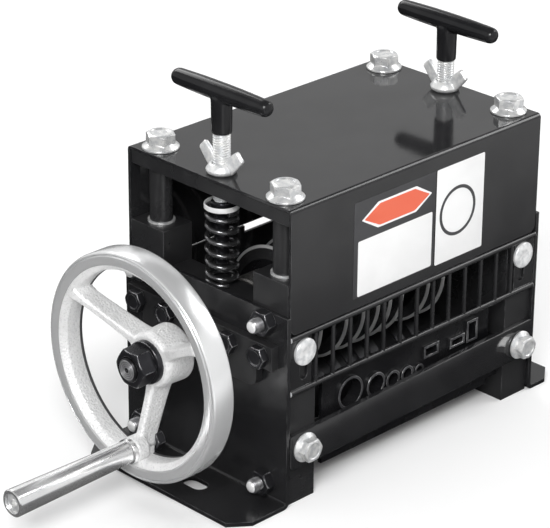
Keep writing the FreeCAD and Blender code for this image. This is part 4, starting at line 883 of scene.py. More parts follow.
@dataclass
class HexHead:
    """A hexagon head with a chamfered crown, a shallow dish and, if it has one, a coned flange."""

    flats: float
    height: float
    flange: float = 0.0
    dish: float = 0.6 * MM
    lip: float = 1.8 * MM
    segments: int = 72

    def add(self, shell: Shell) -> None:
        """Add the head at the shell's placement, standing on local Z = 0.

        Args:
            shell: The mesh that the head joins.
        """
        inner = self.flats / 2 * 0.94
        slope = 0.0
        cone_top = 0.0
        if self.flange:
            cone_top = self.height * 0.36
            slope = (cone_top - self.lip) / (self.flange / 2 - self.flats * 0.54)

        def side_foot(angle: float) -> tuple[float, float]:
            """Return where a side rises from the cone."""
            radius = hexagon_radius(self.flats, angle)
            return max(0.0, cone_top - (radius - self.flats * 0.54) * slope), radius

        def shoulder(angle: float) -> tuple[float, float]:
            """Return where a side meets the chamfer."""
            radius = hexagon_radius(self.flats, angle)
            return self.height - (radius - inner) * CHAMFER, radius

        rows: list[Row] = [level(0.0, PINHOLE)]
        if self.flange:
            half = self.flange / 2
            edge = 0.35 * MM
            rows += [level(0.0, half - edge), level(edge, half)]
            rows += [level(self.lip - edge, half), level(self.lip, half - edge)]
        rows += [side_foot, shoulder, level(self.height, inner), level(self.height, inner * 0.82)]
        rows += [level(self.height - self.dish, inner * 0.74), level(self.height - self.dish, PINHOLE)]
        shell.varied(rows, self.segments)


@dataclass
class HexNut:
    """A hexagon nut with both faces chamfered and the mouth of its bore broken."""

    flats: float
    height: float
    bore: float
    edge: float = 0.7 * MM
    segments: int = 72

    def add(self, shell: Shell) -> None:
        """Add the nut at the shell's placement, standing on local Z = 0.

        Args:
            shell: The mesh that the nut joins.
        """
        inner = self.flats / 2 * 0.95

        def low(angle: float) -> tuple[float, float]:
            """Return where a side meets the lower chamfer."""
            radius = hexagon_radius(self.flats, angle)
            return max(0.0, radius - self.flats / 2 * 1.02) * CHAMFER, radius

        def high(angle: float) -> tuple[float, float]:
            """Return where a side meets the upper chamfer."""
            radius = hexagon_radius(self.flats, angle)
            return self.height - (radius - inner) * CHAMFER, radius

        shell.varied([level(0.0, self.bore), level(0.0, inner), low, high, level(self.height, inner),
                      level(self.height, self.bore + self.edge), level(self.height - self.edge, self.bore)],
                     self.segments, loop=True)


@dataclass
class Thread:
    """An outside screw thread with a chamfered start."""

    diameter: float
    pitch: float
    length: float
    depth_share: float = 0.61
    steepness: float = 2.6
    root_share: float = 0.25
    start_slope: float = 0.9
    segments: int = 36
    per_turn: int = 8

    def radius(self, along: float, angle: float) -> float:
        """Return the thread's surface, whose crests and roots are flat.

        Args:
            along: The distance along the axis.
            angle: The angle about it.

        Returns:
            The radius there.
        """
        phase = (along / self.pitch - angle / math.tau) % 1.0
        rise = min(1.0, max(0.0, (0.5 - abs(phase - 0.5)) * self.steepness - self.root_share))
        major = self.diameter / 2
        depth = self.pitch * self.depth_share
        ends = min(along, self.length - along)
        tip = major - depth + max(0.0, ends) * self.start_slope
        return min(major - depth * rise, max(major - depth, tip))

    def add(self, shell: Shell) -> None:
        """Add the thread along local Z from 0, closed at both ends.

        Args:
            shell: The mesh that the thread joins.
        """
        count = max(2, round(self.length / self.pitch * self.per_turn))
        rings: list[Ring] = [[Vector((0, 0, 0))]]
        angles = [math.tau * k / self.segments for k in range(self.segments)]
        for row in range(count + 1):
            along = self.length * row / count
            rings.append([polar(self.radius(along, angle), angle, along) for angle in angles])
        rings.append([Vector((0, 0, self.length))])
        shell.skin(rings)


@dataclass
class Fasteners:
    """All bolts, studs and nuts of the fixed frame.

    A keeper row is a place along Y and the length of the bolt there, both in millimetres.
    """

    cover_bolt_foot: float = 142 * MM
    lower_bolt_height: float = 41.9 * MM
    lower_plate_face: float = FACE_Y + 4 * MM
    keeper_bolt_height: float = 109.9 * MM
    keeper_rows: tuple[tuple[float, float], ...] = ((-59.0, 17.9), (-30.0, 8.9), (30.0, 8.9), (59.0, 17.9))
    stud_heights: tuple[float, ...] = (15 * MM, 133 * MM)
    stud_tail: float = 104.2 * MM
    thread_start: float = 124.7 * MM
    thread_end: float = 139.2 * MM
    guard_bolt_height: float = 112 * MM
    guard_face: float = FACE_Y + 2 * MM
    panel_screw_x: float = 93 * MM
    panel_screw_y: float = -58.5 * MM
    panel_screw_heights: tuple[float, ...] = (27 * MM, 43 * MM)
    sunk: float = 0.1 * MM

    def top_bolts(self) -> None:
        """Make the four flanged bolts on the cover."""
        shell = Shell()
        for sx, sy in CORNERS:
            shell.at((sx * POST_X, sy * POST_Y, COVER_TOP))
            HexHead(18 * MM, 11 * MM, 25.5 * MM).add(shell)
            shell.at((sx * POST_X, sy * POST_Y, self.cover_bolt_foot))
            shell.lathe(metres([(0, 0), (0, 5.4), (0.6, 6), (72.8, 6), (72.8, 0)]), 40)
        place(shell.finish("top_flange_bolts"), "frame", Slot.ZINC, ZINC, ["top_bolts"])

    def lower_bolts(self) -> None:
        """Make the flanged bolts of the two lower plates."""
        shell = Shell()
        for sx, sy in CORNERS:
            shell.at((sx * POST_X, sy * self.lower_plate_face, self.lower_bolt_height), (0, sy, 0))
            HexHead(15 * MM, 9 * MM, 21 * MM, lip=1.6 * MM).add(shell)
            start = sy * (self.lower_plate_face - self.sunk)
            shell.at((sx * POST_X, start, self.lower_bolt_height), (0, -sy, 0))
            shell.lathe(shank(5, 19.8), 40)
        place(shell.finish("lower_flange_bolts"), "frame", Slot.ZINC, ZINC, ["lower_plate_bolts"])

    def keeper_bolts(self) -> None:
        """Make the hexagon bolts of both bearing keepers, the outer ones long enough for the posts."""
        shell = Shell()
        for sx in BOTH:
            for y, reach in self.keeper_rows:
                shell.at((sx * KEEPER_X, y * MM, self.keeper_bolt_height), (sx, 0, 0))
                HexHead(14 * MM, 6 * MM, dish=0.4 * MM).add(shell)
                shell.at((sx * (KEEPER_X - self.sunk), y * MM, self.keeper_bolt_height), (-sx, 0, 0))
                shell.lathe(shank(4, reach, run=0.5), 32)
        place(shell.finish("keeper_hex_bolts"), "frame", Slot.BLACK_OXIDE, BLACK_OXIDE, ["keeper_bolts"])

    def studs(self) -> None:
        """Make the threaded studs and the nuts that hold the end plates."""
        studs = Shell()
        nuts = Shell()
        for sx, sy in CORNERS:
            for z in self.stud_heights:
                studs.at((sx * self.stud_tail, sy * POST_Y, z), (sx, 0, 0))
                studs.lathe(metres([(0, 0), (0, 4.8), (20.6, 4.8), (20.6, 0)]), 32)
                studs.at((sx * self.thread_start, sy * POST_Y, z), (sx, 0, 0))
                Thread(10 * MM, 1.5 * MM, 14.6 * MM).add(studs)
                studs.at((sx * self.thread_end, sy * POST_Y, z), (sx, 0, 0))
                studs.lathe(metres([(0, 0), (0, 4.1), (0.8, 3.6), (1.4, 2.4), (1.75, 0)]), 32)
                nuts.at((sx * PLATE_X, sy * POST_Y, z), (sx, 0, 0))
                HexNut(16 * MM, 8 * MM, 5.02 * MM).add(nuts)
        place(studs.finish("threaded_end_studs"), "frame", Slot.ZINC, STUD_ZINC, ["end_studs"])
        place(nuts.finish("end_hex_nuts"), "frame", Slot.BLACK_OXIDE, BLACK_OXIDE, ["end_nuts"])

    def guard_bolts(self) -> None:
        """Make the flat disc heads that hold the guards."""
        shell = Shell()
        disc = metres([(0, 0), (0, 9.2), (0.4, 9.5), (2.0, 9.5), (2.7, 9.0), (3.1, 8.0), (3.3, 6.2),
                       (3.3, 3.4), (3.0, 2.6), (3.0, 0)])
        for sx, sy in CORNERS:
            shell.at((sx * POST_X, sy * self.guard_face, self.guard_bolt_height), (0, sy, 0))
            shell.lathe(disc, 64)
            shell.at((sx * POST_X, sy * (self.guard_face + self.sunk), self.guard_bolt_height), (0, -sy, 0))
            shell.lathe(shank(3, 13.9, run=0.5, drop=0.4), 32)
        place(shell.finish("guard_disc_bolts"), "frame", Slot.ZINC, DISC_ZINC, ["guard_bolts"])

    def panel_screws(self) -> None:
        """Make the pan-headed screws of the feed panel's ears."""
        shell = Shell()
        pan = metres([(0, 0), (0, 4.4), (0.5, 4.5), (1.6, 4.1), (2.3, 3.0), (2.6, 1.6), (1.5, 1.2), (1.5, 0)])
        for sx in BOTH:
            for z in self.panel_screw_heights:
                shell.at((sx * self.panel_screw_x, self.panel_screw_y, z), (-sx, 0, 0))
                shell.lathe(pan, 40)
                shell.at((sx * (self.panel_screw_x - self.sunk), self.panel_screw_y, z), (sx, 0, 0))
                shell.lathe(shank(2.5, 10), 24)
        place(shell.finish("panel_pan_screws"), "frame", Slot.ZINC, ZINC, ["panel_screws"])

    def build(self) -> None:
        """Make every fastener."""
        self.top_bolts()
        self.lower_bolts()
        self.keeper_bolts()
        self.studs()
        self.guard_bolts()
        self.panel_screws()


@dataclass
class FrontPlate:
    """The front lower plate, which sits a little low at the left and rises towards the right."""

    half_length: float = 122 * MM
    left: tuple[float, float] = (27.5 * MM, 53.4 * MM)
    right: tuple[float, float] = (31.5 * MM, 58.2 * MM)
    thickness: float = 4 * MM
    corner: float = 3 * MM
    arc_steps: int = 5

    def build(self) -> None:
        """Make the plate with rounded corners and broken edges."""
        outline: list[tuple[float, float]] = []
        (low_left, top_left), (low_right, top_right) = self.left, self.right
        places = ((1, low_right, 1), (1, top_right, -1), (-1, top_left, -1), (-1, low_left, 1))
        for number, (side, z, inward) in enumerate(places):
            middle_x = side * (self.half_length - self.corner)
            middle_z = z + inward * self.corner
            for step in range(self.arc_steps + 1):
                angle = math.radians(90 * (number - 1 + step / self.arc_steps))
                x = middle_x + self.corner * math.cos(angle)
                outline.append((x, middle_z + self.corner * math.sin(angle)))
        shell = Shell().upright(-FACE_Y)
        shell.plate(outline, self.thickness, 0.4 * MM)
        piece = shell.finish("front_lower_cover_plate")
        place(piece, "frame", Slot.BLACK_GLOSS, GLOSS_BLACK, ["front_lower_plate"])


# Pressure heads


@dataclass
class PressureHead:
    """The screw, T handle, wing nut, washer and spring of one end."""

    side: str
    sign: int
    lowered: float
    thread: float = 12 * MM
    pitch: float = 1.75 * MM
    spring_outer: float = 23.4 * MM
    wire: float = 3.5 * MM
    turns: int = 7
    end_pitch: float = 4.4 * MM
    start_turn: float = 0.30
    block_top: float = 135 * MM
    highest_shoulder: float = 195 * MM
    highest_foot: float = 150 * MM
    washer_height: float = 5 * MM
    stem_rise: float = 48 * MM
    bar_rise: float = 76 * MM
    bar_length: float = 91 * MM
    bar_radius: float = 5.5 * MM
    bar_swell: float = 1.0 * MM
    bar_dome: float = 5.4 * MM
    bar_steps: int = 48
    tang: float = 18 * MM
    gap: float = 0.1 * MM

    @property
    def x(self) -> float:
        """The place of the screw along the shaft."""
        return self.sign * POST_X

    @property
    def shoulder(self) -> float:
        """The height of the screw's shoulder on its washer."""
        return self.highest_shoulder - self.lowered

    def screw(self) -> None:
        """Make the threaded screw, its smooth pilot, painted dark as the shade inside the spring, and the
        tang inside the handle.
        """
        body = self.side + "_screw"
        node = self.side + "_pressure_screw"
        low = self.highest_foot - self.lowered
        stem = self.shoulder + self.stem_rise
        top = self.shoulder - low + self.gap
        shell = Shell().at((self.x, 0, low))
        shell.lathe([(0, 0), (0, 4 * MM), (1 * MM, 5 * MM), (top, 5 * MM), (top, 0)], 48)
        # The pilot's dark finish is painted shade for the inside of the spring.
        place(shell.finish(self.side + "_screw_pilot"), body, Slot.BLACK_OXIDE, SHADE_PAINTED_STEEL, [node])
        shell = Shell().at((self.x, 0, self.shoulder))
        Thread(self.thread, self.pitch, stem - self.shoulder - self.gap / 2).add(shell)
        shell.at((self.x, 0, stem - self.gap))
        shell.lathe([(0, 0), (0, 4 * MM), (self.tang, 4 * MM), (self.tang, 0)], 32)
        place(shell.finish(self.side + "_threaded_screw"), body, Slot.ZINC, SCREW_ZINC, [node])

    def wing_line(self, steps: int = 16) -> list[tuple[float, float, float]]:
        """Work out one wing's centre line.

        Args:
            steps: The number of steps from the hub to the tip.

        Returns:
            Its points as (out, up, half width).
        """
        line = []
        for k in range(steps + 1):
            share = k / steps
            out = 6.6 + 11.3 * share ** 1.05
            up = 3.4 + 12.6 * share ** 0.90
            half = 4.6 + 0.5 * math.sin(math.pi * share) - 0.5 * share
            line.append((out * MM, up * MM, half * MM))
        return line

    def wing_nut(self) -> None:
        """Make the pressed wing nut: a low coned hub with two broad upright wings."""
        shell = Shell().at((self.x, 0, COVER_TOP))
        shell.lathe(metres([(0, 6.02), (0, 8.6), (0.7, 9.6), (1.8, 10.4), (3.0, 10.6), (4.2, 9.9), (5.6, 8.9),
                            (6.6, 8.2), (7, 7.6), (7, 6.72), (6.4, 6.02)]), 72, loop=True)
        for side in BOTH:
            self.wing(shell, side)
        piece = shell.finish(self.side + "_pressed_wing_nut", 34.0)
        place(piece, self.side + "_lock", Slot.ZINC, CAST_ZINC, [self.side + "_wing_nut"])

    def wing(self, shell: Shell, side: int) -> None:
        """Add one wing: a flat leaf with a rolled rim and a broad, nearly straight tip.

        Args:
            shell: The mesh that it goes into.
            side: 1 or -1, for the wing towards or against local Y.
        """
        line = self.wing_line()
        rings: list[Ring] = []
        around = 28
        last = len(line) - 1
        for k, (out, up, half) in enumerate(line):
            before = line[max(k - 1, 0)]
            after = line[min(k + 1, last)]
            run = Vector((0, after[0] - before[0], after[1] - before[1])).normalized()
            across = Vector((0, run.z, -run.y))
            share = k / last
            close = math.sqrt(max(0.02, 1 - max(0.0, (share - 0.90) / 0.10) ** 2))
            thick = (2.3 - 0.4 * share) * MM * min(1.0, close + 0.25)
            ring: Ring = []
            for n in range(around):
                angle = math.tau * n / around
                cosine = squared(math.cos(angle), 0.45)
                sine = squared(math.sin(angle), 0.70)
                waist = 1.0 - 0.28 * (1 - abs(cosine)) * share
                reach = half * cosine * (0.72 + 0.28 * close)
                spot = Vector((thick * sine * waist, out, up)) + across * reach
                ring.append(Vector((spot.x, spot.y * side, spot.z)))
            rings.append(ring)
        middle = Vector((0, line[-1][0] * side, line[-1][1]))
        root = Vector((0, line[0][0] * side, line[0][1]))
        shell.skin([[root]] + rings + [[middle]])

    def coil_height(self, turn: float, low: float, rise: float) -> float:
        """Work out the rise of the wire, whose end turns lie close.

        Args:
            turn: The number of turns from the lower end.
            low: The height of the wire's middle at the lower end.
            rise: How far the wire rises in all.

        Returns:
            The height of the wire's middle there.
        """
        if turn <= 1:
            return low + self.end_pitch * turn
        if turn >= self.turns - 1:
            return low + rise - self.end_pitch * (self.turns - turn)
        free = (rise - 2 * self.end_pitch) / (self.turns - 2)
        return low + self.end_pitch + free * (turn - 1)

    def spring(self) -> None:
        """Make the spring as a lower and an upper half that meet at its middle."""
        low = self.block_top + self.gap + self.wire / 2
        high = self.shoulder - self.washer_height - self.gap - self.wire / 2
        radius = (self.spring_outer - self.wire) / 2
        half = self.turns / 2
        for part, start in (("lower", 0.0), ("upper", half)):
            steps = round(half * 48)
            path = []
            for step in range(steps + 1):
                turn = start + half * step / steps
                angle = -math.tau * (turn + self.start_turn)
                height = self.coil_height(turn, low, high - low)
                path.append(polar(radius, angle, height) + Vector((self.x, 0, 0)))
            shell = Shell()
            shell.tube(path, self.wire / 2, 18)
            piece = shell.finish("%s_spring_%s_half" % (self.side, part), 60.0)
            place(piece, "", Slot.SPRING_STEEL, SPRING_STEEL, [self.side + "_spring"])
            if part == "lower":
                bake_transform(piece)
            else:
                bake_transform(piece)

    def washer(self) -> None:
        """Make the spring's washer: a seat under the screw's shoulder, painted dark as the shade in the
        washer's hollow, in a bright band.
        """
        seat = metres([(0, 5.1), (0, 10.8), (1.4, 10.8), (1.6, 10.4), (1.6, 7.8), (4.8, 7.3), (5, 7),
                       (5, 5.1)])
        band = metres([(0, 10.8), (0, 11.5), (0.5, 12), (3.1, 12), (3.6, 11.6), (3.6, 11.2), (3.2, 10.8)])
        # The seat's dark finish is painted shade for the hollow inside the bright band.
        for part, profile, finish in (("seat", seat, SHADE_PAINTED_STEEL), ("band", band, CUP_STEEL)):
            shell = Shell().at((self.x, 0, self.shoulder - self.washer_height))
            shell.lathe(profile, 96, loop=True)
            piece = shell.finish("%s_washer_%s" % (self.side, part))
            place(piece, self.side + "_press", Slot.SPRING_STEEL, finish, [self.side + "_pressure_washer"])

    def handle(self) -> None:
        """Make the moulded T handle: a swelling bar that runs into a stout stem."""
        bar = self.bar_rise + self.shoulder
        half = self.bar_length / 2
        shell = Shell().at((self.x, -half, bar), (0, 1, 0))
        profile: list[tuple[float, float]] = []
        for k in range(self.bar_steps + 1):
            along = -1 + 2 * k / self.bar_steps
            swell = self.bar_radius + self.bar_swell * (1 - along * along)
            inside = (1 - abs(along)) * half
            dome = math.sqrt(max(0.0, 1 - max(0.0, 1 - inside / self.bar_dome) ** 2))
            profile.append((half * (1 + along), swell * dome))
        profile[0], profile[-1] = (0.0, 0.0), (2 * half, 0.0)
        shell.lathe(profile, 40)
        foot = self.shoulder + self.stem_rise
        rise = bar - foot
        shell.at((self.x, 0, foot))
        shell.lathe([(0, 0), (0, 6.5 * MM), (0.5 * MM, 6.95 * MM), (rise * 0.35, 7.05 * MM),
                     (rise * 0.7, 7.15 * MM), (rise * 0.82, 7.3 * MM), (rise * 0.9, 7.0 * MM),
                     (rise, 3 * MM), (rise, 0)], 48)
        piece = melted(shell.finish("moulding"), self.side + "_moulded_t_handle", 0.55 * MM, 6)
        place(piece, self.side + "_screw", Slot.BLACK_PLASTIC, BLACK_PLASTIC, [self.side + "_t_handle"])

    def build(self) -> None:
        """Make the head's pieces."""
        self.screw()
        self.washer()
        self.handle()
        self.wing_nut()
        self.spring()


# Handwheel


@dataclass
class Handwheel:
    """The cast wheel with its turned rim, its nut, the shaft's end and the crank bolt."""

    washer_face: float = -180 * MM
    face: float = -193 * MM
    hub_front: float = -176 * MM
    hub_length: float = 24 * MM
    boss_set_back: float = 0.2 * MM
    spokes: int = 3
    shaft_tip: float = -195 * MM
    tip_rings: int = 4
    bolt_face: float = -292.6 * MM
    bolt_length: float = 127.1 * MM

    def rim(self) -> None:
        """Make the rim: turned outside and in front, with a fine groove, and a thin band inside painted dark
        as shade.
        """
        rim = [(0.0, 71.6), (0.25, 71.0), (4.4, 66.8), (5.2, 66.5), (15.4, 66.5), (17.6, 66.5), (18.6, 67.6),
               (19.0, 68.4), (19.0, 78.0), (18.7, 79.0), (18.0, 79.7), (17.0, 80.0), (2.4, 80.0), (1.4, 79.7),
               (0.7, 79.1), (0.4, 78.3), (1.1, 78.0), (1.1, 77.3), (0.0, 77.0)]
        # The lip is a thin band painted dark as shade at the rim's inner rear edge.
        lip = [(15.4, 66.5), (15.6, 66.2), (17.4, 66.2), (17.6, 66.5)]
        parts = (("wheel_turned_rim", rim, WHEEL_ALLOY), ("wheel_inner_painted_shade", lip, RIM_PAINTED_SHADE))
        for name, profile, finish in parts:
            shell = Shell().at((self.face, 0, SHAFT_Z), (1, 0, 0))
            shell.lathe(metres(profile), 192, loop=True)
            place(shell.finish(name), "drive", Slot.WHEEL_ALLOY, finish, ["hand_wheel"])

    def spoke(self, shell: Shell, angle: float) -> None:
        """Add one spoke: a web that is narrow in front, deep along the axis and leans out to the rim.

        Args:
            shell: The mesh that it goes into.
            angle: Its direction from the shaft, in radians.
        """
        out = Vector((0, math.cos(angle), math.sin(angle)))
        side = Vector((0, -math.sin(angle), math.cos(angle)))
        stations = [(9, 13.0, -166.0, 19.0), (16, 11.0, -166.0, 19.0), (20, 8.4, -166.8, 18.4),
                    (26, 7.0, -168.8, 17.8), (40, 6.6, -173.8, 16.6), (54, 6.6, -178.8, 15.6),
                    (61, 7.2, -181.4, 15.4), (66, 9.6, -182.8, 15.8), (68.5, 11.5, -183.0, 16.4)]
        rings: list[Ring] = []
        middles: list[Vector] = []
        around = 36
        for radius, width, x, thick in stations:
            middles.append(Vector((x * MM, 0, SHAFT_Z)) + out * radius * MM)
            ring: Ring = []
            for k in range(around):
                turn = math.tau * k / around
                flat = squared(math.cos(turn), 0.30)
                deep = squared(math.sin(turn), 0.30)
                draft = 1 + 0.10 * deep
                across = side * flat * draft * width / 2 * MM
                ring.append(middles[-1] + across + Vector((deep * thick / 2 * MM, 0, 0)))
            rings.append(ring)
        shell.place = Matrix.Identity(4)
        shell.skin([[middles[0]]] + rings + [[middles[-1]]])

    def casting(self) -> None:
        """Make the hub, the spokes and the crank boss as one casting with rounded inside corners."""
        shell = Shell().at((self.hub_front, 0, SHAFT_Z), (1, 0, 0))
        long = self.hub_length
        shell.lathe([(0, 0), (0, 16.6 * MM), (0.5 * MM, 17.6 * MM), (1.6 * MM, 18.2 * MM),
                     (4 * MM, 19.2 * MM), (long - 2 * MM, 20 * MM), (long - 0.6 * MM, 19.4 * MM),
                     (long, 18 * MM), (long, 0)], 96)
        for number in range(self.spokes):
            self.spoke(shell, math.radians(-90 + 360 / self.spokes * number))
        shell.at((self.face + self.boss_set_back, 0, CRANK_Z), (1, 0, 0))
        shell.lathe(metres([(0, 0), (0, 8.4), (0.6, 9), (9.4, 9), (10, 8.4), (10, 0)]), 64)
        piece = melted(shell.finish("casting"), "wheel_cast_spider", 0.75 * MM, 4)
        place(piece, "drive", Slot.WHEEL_ALLOY, WHEEL_ALLOY, ["hand_wheel"])

    def nut(self) -> None:
        """Make the chamfered nut and the turned rings on the shaft's end in it."""
        shell = Shell().at((self.washer_face, 0, SHAFT_Z), (-1, 0, 0))
        HexNut(24 * MM, 13 * MM, 8.05 * MM).add(shell)
        place(shell.finish("shaft_hex_nut"), "drive", Slot.BLACK_OXIDE, BLACK_OXIDE, ["wheel_nut"])
        shell = Shell().at((self.shaft_tip, 0, SHAFT_Z), (-1, 0, 0))
        for number in range(self.tip_rings):
            outer = 6.9 - 1.4 * number
            shell.lathe(metres([(0.0, outer), (0.3, outer - 0.15), (0.3, outer - 0.75), (0.0, outer - 0.9)]),
                        96, loop=True)
        place(shell.finish("shaft_end_rings"), "drive", Slot.TURNED_STEEL, SHAFT_END)

    def crank_bolt(self) -> None:
        """Make the countersunk bolt that the grip turns on, with a hexagon socket in its head."""

        def socket(along: float) -> Row:
            """Return a row that follows the socket's six sides."""
            return lambda angle: (along, hexagon_radius(5 * MM, angle))

        end = self.bolt_length
        shell = Shell().at((self.bolt_face, 0, CRANK_Z), (1, 0, 0))
        shell.varied([level(3 * MM, PINHOLE), socket(3 * MM), socket(0.15 * MM), level(0.0, 3.2 * MM),
                      level(0.0, 6.3 * MM), level(0.2 * MM, 6.5 * MM), level(2.7 * MM, 4 * MM),
                      level(end - 0.8 * MM, 4 * MM), level(end, 3.3 * MM), level(end, PINHOLE)], 48)
        place(shell.finish("crank_socket_bolt"), "drive", Slot.ZINC, ZINC, ["crank_bolt"])

    def build(self) -> None:
        """Make the wheel's own pieces."""
        self.rim()
        self.casting()
        self.nut()
        self.crank_bolt()


# Label panels


@dataclass
class LabelPanels:
    """Plain film panels on the cover's front, with nothing printed on them."""

    face_y: float = -77.5 * MM
    film: float = 0.15 * MM
    broken: float = 0.4
    corner_steps: int = 4

    def film_piece(self, name: str, outline: Sequence[tuple[float, float]], finish: Finish, layer: int,
                   round_off: float = 1.2) -> None:
        """Make one film from its corner points.

        Args:
            name: The piece's name.
            outline: Its corners as (x, z) in millimetres, running anticlockwise as seen from the front.
            finish: Its finish.
            layer: How many films lie under it.
            round_off: How far each corner is rounded, in millimetres.
        """
        points: list[tuple[float, float]] = []
        for k, corner in enumerate(outline):
            here = Vector(corner)
            before = here + (Vector(outline[k - 1]) - here).normalized() * round_off
            after = here + (Vector(outline[(k + 1) % len(outline)]) - here).normalized() * round_off
            for step in range(self.corner_steps + 1):
                share = step / self.corner_steps
                spot = before * (1 - share) ** 2 + here * 2 * share * (1 - share) + after * share ** 2
                points.append((spot.x * MM, spot.y * MM))
        shell = Shell().upright(self.face_y - layer * self.film)
        shell.plate(points, self.film, self.film * self.broken)
        place(shell.finish(name), "frame", Slot.BLACK_GLOSS, finish)

    def panel(self, name: str, x: tuple[float, float], z: tuple[float, float], finish: Finish,
              layer: int) -> None:
        """Make a plain oblong film between two x and two z in millimetres."""
        self.film_piece(name, [(x[0], z[0]), (x[1], z[0]), (x[1], z[1]), (x[0], z[1])], finish, layer)

    def hexagon(self, name: str, shrink: float, finish: Finish, layer: int) -> None:
        """Make the long hexagon.

        Args:
            name: The piece's name.
            shrink: How far it is drawn in all round, in millimetres.
            finish: Its finish.
            layer: How many films lie under it.
        """
        left, right, middle = -57 + 1.6 * shrink, 11 - 1.6 * shrink, 188.7
        low, high, inset = 179.5 + shrink, 198 - shrink, 15.5 - 0.6 * shrink
        outline = [(left, middle), (left + inset, low), (right - inset, low), (right, middle),
                   (right - inset, high), (left + inset, high)]
        self.film_piece(name, outline, finish, layer, 0.8)

    def ring(self, name: str, middle: tuple[float, float], outer: float, inner: float, layer: int) -> None:
        """Make the plain ring of dark film.

        Args:
            name: The piece's name.
            middle: Its middle as (x, z) in millimetres.
            outer: Its outer radius in millimetres.
            inner: Its inner radius in millimetres.
            layer: How many films lie under it.
        """
        x, z = middle
        shell = Shell().at((x * MM, self.face_y - layer * self.film, z * MM), (0, -1, 0))
        rim = self.film * self.broken
        edge = self.film - rim
        shell.lathe([(0, inner * MM), (0, outer * MM), (edge, outer * MM), (self.film, outer * MM - rim),
                     (self.film, inner * MM + rim), (edge, inner * MM)], 96, loop=True)
        place(shell.finish(name), "frame", Slot.BLACK_GLOSS, LABEL_GREY)

    def build(self) -> None:
        """Make the panels from the lowest layer up."""
        self.panel("label_field_dark", (-64, 14.5), (134, 203), LABEL_GREY, 0)
        self.panel("label_field_white", (-60, 12), (134.6, 174.5), LABEL_WHITE, 1)
        self.hexagon("label_hexagon_border", 0.0, LABEL_WHITE, 1)
        self.hexagon("label_hexagon", 1.5, LABEL_ORANGE, 2)
        self.panel("label_right_white", (16, 64), (133, 203), LABEL_WHITE, 0)
        self.ring("label_ring", (37.7, 168), 18.2, 15.8, 1)


# Stage


